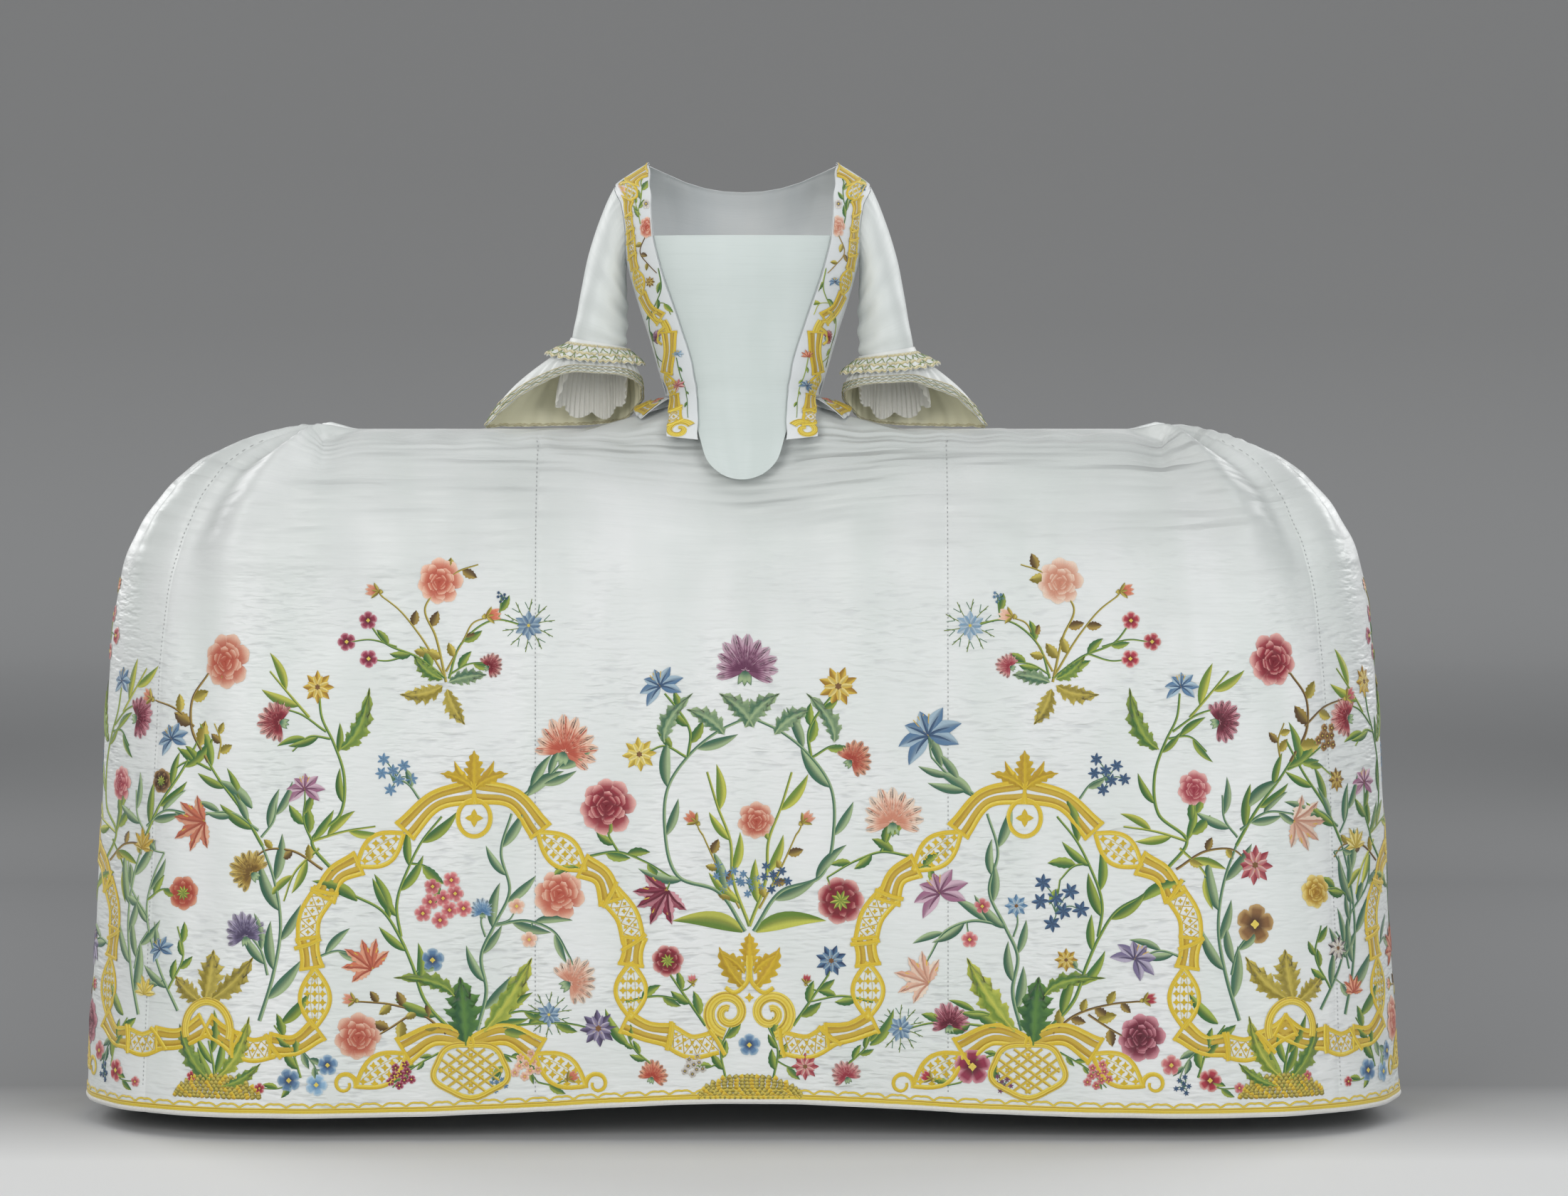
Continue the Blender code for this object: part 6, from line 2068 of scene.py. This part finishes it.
def middle_details(gold, x):
    for hand in (-1, 1):
        scroll(gold, x + hand * 0.030, -0.868, 0.031, 1.5, hand * 170, -hand, 0.018)
        lobed_leaf(gold, x + hand * 0.007, -0.832, hand * 46, 0.066, 0.028, GOLDS, -0.25 * hand)
        lobed_leaf(gold, x + hand * 0.007, -0.812, hand * 22, 0.040, 0.020, GOLDS, 0.6 * hand)
        neck = ((0.002, -0.786), (0.006, -0.828), (0.022, -0.839), (0.034, -0.832))
        gold.band([(x + hand * d, z) for d, z in neck], 0.0060, EDGE_STRIPES[::hand], 0.0020)
    lobed_leaf(gold, x, -0.806, 0, 0.052, 0.030, GOLDS)
    four_petals(gold, x, -0.846, 0.007)
    mound(gold, x, -0.990, 0.072, 0.034)


# %% [markdown]
# The front is worked first, then the sides. At a side the same design comes again, the other way round,
# out to the middle of the back panel, and the gap that is left beyond it is filled from its middle
# outwards.

# %% All the petticoat's needlework
# Straps that join the side's ribbon to the front's ring, and run on under the train
RIBBON_JOINS = (
    ("side", (73, -91.2, 77.2, -90.9, 81, -88.8)),
    ("behind", (39, -55.4, 33.5, -56.4, 29.6, -61)),
)


def work_half(gold, side, label, parts):
    place = "left" if side > 0 else "right"
    greens, flowers = (
        Needlework(f"petticoat_{what}_{label}{place}", FLOSS) for what in ("leaves", "flowers"))
    for part, first, last in parts:
        half_design(greens, flowers, gold, side, first, last, part)
    gold_details(gold, side, parts[0][0])
    if label:
        for part, values in RIBBON_JOINS:
            ribbon_piece(gold, "strap", path_of(values, side, part))
        middle_details(gold, side * BACK_MIDDLE)
    elif side > 0:
        for x, z, r, turn, kind, colour in MIDDLE_FLOWERS:
            FLOWERS[kind](flowers, MIDDLE_X + x * 0.01, z * 0.01, r * 0.01, colour, turn)
        middle_details(gold, MIDDLE_X)
    greens.carry(onto_petticoat)
    flowers.carry(onto_petticoat)


for name, label, parts in (
    ("petticoat_ribbon_work", "", (("front", -5, 88),)),
    ("petticoat_ribbon_work_sides", "side_", (("side", -5, 70), ("behind", -5, 34))),
):
    gold = Needlework(name, GOLD_SILK)
    for side in (-1, 1):
        work_half(gold, side, label, parts)
    gold.carry(onto_petticoat)

# %% [markdown]
# Along the hem runs a narrow border of yellow silk with small scallops, and the very edge is bound with
# white.

# %% The hem
WHITE_THREAD = dye(232, 232, 226)
HEM_SCALLOP = 0.034
hem_s = np.arange(-HALF_ROUND, HALF_ROUND, 0.002)
hem_z = np.interp(hem_s, FINE_S, SKIRT[-1, :, 2])
large, small = (np.abs(np.sin(np.pi * hem_s / width)) for width in (HEM_SCALLOP, HEM_SCALLOP / 2))


def along_hem(height):
    return np.stack([hem_s, hem_z + height], axis=1)


hem = Needlework("hem_border", GOLD_SILK)
hem.band(along_hem(0.0105), 0.0075, STRAP_STRIPES[:5], 0.0009, per=0.007)
hem.band(along_hem(0.0145 + 0.0045 * large + 0.0020 * small), 0.0030, [GOLD, GOLD_PALE], 0.0010)
hem.band(along_hem(0.0038), 0.0062, [WHITE_THREAD] * 2, 0.0010, dome=0.0010, per=0.007)
hem.carry(onto_petticoat)

# %% [markdown]
# The robings carry a smaller version of the same design: a ribbon down the outer edge and a vine beside
# it. Its tables are in millimetres: d is the distance from the middle of the body and z the height above
# the waist.

# %% The robings
# Columns: kind, then d and z in turn
ROBING_RIBBON = rows_of("""
strap  137 326  146 319  153 308
oval  152 309  167 284
strap  167 286  172 275  173.5 263
lattice  173.5 264  174 253  173 242
strap  171 243  168 228
lattice  167 229  165 218  163 207
strap  162.5 208  158 187
oval  157 189  144.5 151
strap  146 151  133 131  113 116
strap  101 97  99.4 68  104.6 38
oval  107 37  99.5 3
strap  98 4  94.5 -9  91 -21
lattice  91 -19  90 -29  88 -39
""")
# Columns: green, thickness, leaves, leaf length, then d and z in turn
ROBING_STEMS = rows_of("""
leaf 1.7 4 17  148 250  150 268  144 285  139 312
leaf 1.3 2 12  147 262  154 276  155 292
brown 1.7 3 15  137 234  146 212  130 192  119 181
leaf 1.7 5 17  117 188  113 158  122 135  135 114  134 84  122 60  108 52
bright 1.3 1 18  120 139  108 138  99 122
leaf 1.2 4 9  89 60  84 38  78 16  75 -6  73 -30
leaf 1.2 1 9  128 62  134 54  128 46
leaf 1.2 2 9  158 318  166 306  172 300
""")
# Columns: d, z, radius, turn, then kind and dye for each side
ROBING_FLOWERS = rows_of("""
136 277 6.5 0 five white five white
135 246 15 0 rose salmon rose peach
129 169 8 0 daisy ochre lily blue
123.5 92 10 60 carnation mauve carnation red
88 65 7 0 lily sky tulip coral
88 20 10 30 lily rose lily blue
170 300 6 0 five peach bells sky
""")
# Two curls and the neck between them, as d and z in turn
ROBING_CURLS = rows_of("""
109 112  121 116  124 124  117 127
106 104  116 96  118 84  111 79
""")
ROBING_NECK = (109, 113, 104, 104, 101, 96)
ROBING_WIDTHS = (0.0205, 0.0275, 0.0205)
ROBING_MARGIN = 0.03
# The robing's outer edge in that drawing
ROBING_OUTER = table("""
z d
-50 90
0 107
50 122
105 141
167 163
202 174
243 183
310 182
340 165
""")


def onto_robing(flat, lift):
    """A place in the drawing, carried between the robing's own edges at its lift above the silk."""
    x, z = np.abs(flat[:, 0]), flat[:, 1]
    inner = np.interp(z, ROBING["inner_z"], ROBING["inner_x"])
    outer = np.interp(z * 1000, ROBING_OUTER["z"], ROBING_OUTER["d"]) * 0.001
    across = np.clip((x - inner) / (outer - inner), ROBING_MARGIN, 1 - ROBING_MARGIN)
    first = angle_of_share(inner / torso_size("half_width", z))
    last = np.interp(z, ROBING["outer_z"], angle_of_share(ROBING["outer_share"]))
    points, inward = torso_layer(mixed(first, last, across)[:, None], z[:, None], 2)
    return mirrored(points[:, 0] - inward[:, 0] * lift[:, None], np.sign(flat[0, 0]))


def in_metres(values, side):
    return [(side * d * 0.001, z * 0.001) for d, z in two_by_two(values)]


for name, side in SIDES:
    gold = Needlework(f"robing_ribbon_{name}", GOLD_SILK, 0.58)
    vine = Needlework(f"robing_vine_{name}", FLOSS, 0.58)
    for kind, *values in ROBING_RIBBON:
        ribbon_piece(gold, kind, in_metres(values, side), ROBING_WIDTHS)
    scroll(gold, side * 0.079, -0.047, 0.0125, 1.2, -side * 60, side, 0.0085)
    for curl in ROBING_CURLS:
        gold.band(in_metres(curl, side), 0.0055, STRAP_STRIPES[:5], 0.0016, taper=0.3, per=0.003)
    gold.band(in_metres(ROBING_NECK, side), 0.0110, STRAP_STRIPES, 0.0012)
    for green, thick, leaves, long, *values in ROBING_STEMS:
        leafy_stem(vine, in_metres(values, side), green, thick * 0.001, int(leaves), long * 0.001)
    which = 4 if side < 0 else 6
    for row in ROBING_FLOWERS:
        place, = in_metres(row[:2], side)
        FLOWERS[row[which]](vine, *place, row[2] * 0.001, row[which + 1], side * row[3])
    gold.carry(onto_robing)
    vine.carry(onto_robing)

# %% [markdown]
# The overskirts are worked too, with a ribbon along the edge and one flower. The flounces and the
# gathered ruffles above them are edged with a scalloped braid of cream silk, and a looped line of green
# chenille runs beside it.

# %% Overskirts, ruffles and flounces
BRAID = [dye(206, 196, 150), dye(232, 226, 196), dye(206, 196, 150)]
CHENILLE = [dye(112, 134, 84), dye(146, 162, 104)]
SCALLOP = 0.0075
ANGLE_STEP = 0.02
# A drawing's metres for each radian round the waist or a cuff, and for a cuff's whole depth
OVERSKIRT_DRAWING = 0.135
RUFFLE_DRAWING = (0.05, 0.03)
FLOUNCE_DRAWING = (0.10, 0.12)


def onto_overskirt(side):
    def onto(flat, lift):
        turn = np.radians(OVERSKIRT_FIRST) + flat[:, 0] / OVERSKIRT_DRAWING
        points = overskirt(turn, np.clip(-flat[:, 1] / OVERSKIRT_WIDTH, 0, 1))
        points[:, 2] += lift
        return mirrored(points, side)

    return onto


def onto_cuff(made, side, drawing, out=1.0, above=0.0):
    """Carries a flat place on to a ruffle or flounce: on its inner face where out is -1."""
    def onto(flat, lift):
        angle, share = flat[:, 0] / drawing[0], np.clip(-flat[:, 1] / drawing[1], 0, 1)
        steps = [np.clip(share + step, 0, 1) for step in (ANGLE_STEP, -ANGLE_STEP)]
        round_it = made(angle + ANGLE_STEP, share, side) - made(angle - ANGLE_STEP, share, side)
        normal = unit(np.cross(round_it, made(angle, steps[0], side) - made(angle, steps[1], side)))
        normal = normal * np.sign((normal * away_from_middle(angle)).sum(axis=1) + 1e-6)[:, None] * out
        return mirrored(made(angle, share, side) + normal * (lift + above)[:, None], side)

    return onto


def edging(work, drawing, share):
    """A scalloped braid right round, at that share of the depth."""
    whole = 2 * np.pi * drawing[0]
    x = np.arange(0, whole, 0.0012)
    lobes = 0.0016 * np.abs(np.sin(np.pi * round(whole / SCALLOP) * x / whole))
    work.band(np.stack([x, lobes - drawing[1] * share], axis=1), 0.0034, BRAID, 0.0008)


def looped_line(work, drawing, share, height, loops):
    u = np.linspace(0, 2 * np.pi, 900)
    x = drawing[0] * (u + 0.5 / loops * np.sin(2 * loops * u))
    z = height * np.sin(loops * u) - drawing[1] * share
    work.band(np.stack([x, z], axis=1), 0.0013, CHENILLE, 0.0006, per=0.0036)


for name, side in SIDES:
    edge = Needlework(f"overskirt_work_{name}", GOLD_SILK, 0.6)
    strap(edge, [(0.006, -0.030), (0.035, -0.033)], 0.022)
    lattice(edge, [(0.035, -0.033), (0.060, -0.034)], 0.024)
    strap(edge, [(0.060, -0.034), (0.085, -0.030)], 0.022)
    pointed_oval(edge, [(0.086, -0.030), (0.120, -0.028)], 0.024)
    rose(edge, 0.030, -0.012, 0.009, "coral")
    for k in range(5):
        leaf(edge, 0.012 + 0.018 * k, -0.014, 70 + 30 * (k % 2), 0.013, 0.005)
    edge.carry(onto_overskirt(side))

    cuff = Needlework(f"cuff_trim_{name}", FLOSS, 0.5)
    for share in (0.36, 0.70, 0.97):
        edging(cuff, RUFFLE_DRAWING, share)
    for share in (0.53, 0.84):
        looped_line(cuff, RUFFLE_DRAWING, share, 0.0042, 26)
    cuff.carry(onto_cuff(ruffle_silk, side, RUFFLE_DRAWING))

    outer = Needlework(f"flounce_trim_outer_{name}", FLOSS, 0.5)
    for share in (0.985, 0.86, 0.74):
        edging(outer, FLOUNCE_DRAWING, share)
    for share in (0.92, 0.80):
        looped_line(outer, FLOUNCE_DRAWING, share, 0.0048, 40)
    outer.carry(onto_cuff(flounce, side, FLOUNCE_DRAWING, 1.0, 0.0013))
    inner = Needlework(f"flounce_trim_inner_{name}", FLOSS, 0.5)
    edging(inner, FLOUNCE_DRAWING, 0.985)
    inner.carry(onto_cuff(flounce, side, FLOUNCE_DRAWING, -1.0, FINE_WALL + LINING_GAP + 0.0004))

# %% [markdown]
# Each seam of the petticoat is sewn with small running stitches, which show as a dotted line beside it.

# %% The seams' stitches
STITCH_EVERY = 0.0062
SEAM_THREAD = (dye(168, 172, 172),) * 3

seams = Needlework("seam_stitches", FLOSS)
for place in SEAMS:
    for side in (-1, 1):
        for z in np.arange(-0.98, -0.06, STITCH_EVERY):
            x = side * (place + SEAM_HALF_WIDTH)
            seams.shape("speck", x, z, 0, 0.0034, 0.0013, SEAM_THREAD, 0.0007, dome=0.0002)
seams.carry(onto_petticoat)

# %% [markdown]
# Needlework adds up quickly, so the triangles of every piece made here are counted.

# %% How many triangles there are
counts = {}
for piece in bpy.data.objects:
    if piece.type == "MESH" and piece.name not in frame["nodes"]:
        counts[piece.name] = sum(len(face.vertices) - 2 for face in piece.data.polygons)
print("largest:", sorted(counts.items(), key=lambda item: -item[1])[:5], "all:", sum(counts.values()))

# %% [markdown]
# A pale floor and soft studio light: a large key light from the front left, a weaker one from the
# right, and a dim one from above that draws out the folds. The backdrop is part of the floor, curved up
# far behind. Painted shadow darkens the floor from just in front of the gown to far behind it, and
# painted light makes it paler again further back, against the lamps' falloff; the backdrop is mid grey.

# %% Floor, backdrop and lights
FLOOR_Z = -1.05
FLOOR_NEAR_Y = -16.0
BACKDROP_Y = 9.4
BACKDROP_BEND = 1.8
BACKDROP_HALF = 14.0
BACKDROP_TOP = 7.0

turn = np.linspace(0, math.pi / 2, 17)
bend_y = BACKDROP_Y + BACKDROP_BEND * np.sin(turn)
bend_z = FLOOR_Z + BACKDROP_BEND * (1 - np.cos(turn))
profile = [(FLOOR_NEAR_Y, FLOOR_Z), *zip(bend_y, bend_z), (BACKDROP_Y + BACKDROP_BEND, BACKDROP_TOP)]
stage_points = np.array([[(x, y, z) for x in (-BACKDROP_HALF, BACKDROP_HALF)] for y, z in profile])
floor_mesh = bpy.data.meshes.new("floor")
quads = [(2 * k, 2 * k + 1, 2 * k + 3, 2 * k + 2) for k in range(len(profile) - 1)]
floor_mesh.from_pydata(stage_points.reshape(-1, 3).tolist(), [], quads)
floor_mesh.shade_smooth()
floor = new_object("floor", floor_mesh)
paper, start, feed = finish("paper", 0.8)
place = start.node("ShaderNodeTexCoord", {}, {}, output=3)
# Painted shadow: the floor darkens from just in front of the gown to under its middle, and stays dark
# behind it.
under = place.part("Y").range(-0.42, 0.26).mix((0.71, 0.712, 0.712, 1.0), (0.192, 0.194, 0.197, 1.0))
# Painted light: far behind, the floor grows paler again, making up for the lamps' falloff.
far = place.part("Y").range(3.0, BACKDROP_Y).mix(under, (0.64, 0.64, 0.64, 1.0))
feed(Base_Color=place.part("Z").range(FLOOR_Z + 0.02, FLOOR_Z + 1.2).mix(far, (0.505, 0.503, 0.501, 1.0)))
floor_mesh.materials.append(paper)

# Columns: name, place, watts, size, colour
LIGHTS = (
    ("key", (-2.8, -5.8, 1.9), 172.0, 3.0, (1.0, 0.99, 0.97)),
    ("fill", (3.4, -5.4, 1.3), 126.0, 3.2, (0.98, 0.99, 1.0)),
    ("top", (0.0, -0.6, 3.6), 30.0, 3.0, (1.0, 1.0, 1.0)),
    ("back_left", (-3.6, 2.6, 1.6), 88.0, 2.4, (1.0, 1.0, 1.0)),
    ("back_right", (3.6, 2.6, 1.6), 88.0, 2.4, (1.0, 1.0, 1.0)),
)
AIM = Vector((0.0, 0.0, -0.35))
for name, place, watts, size, colour in LIGHTS:
    light = bpy.data.lights.new(name, "AREA")
    light.energy = watts
    light.size = size
    light.color = colour
    lamp = new_object(name, light)
    lamp.location = place
    lamp.rotation_euler = (AIM - Vector(place)).to_track_quat("-Z", "Y").to_euler()

world = bpy.data.worlds.new("studio")
world.use_nodes = True
background = world.node_tree.nodes["Background"]
background.inputs["Color"].default_value = (0.80, 0.82, 0.84, 1.0)
background.inputs["Strength"].default_value = 0.41
bpy.context.scene.world = world
bpy.context.scene.view_settings.view_transform = "Standard"
print("lights:", [row[0] for row in LIGHTS])
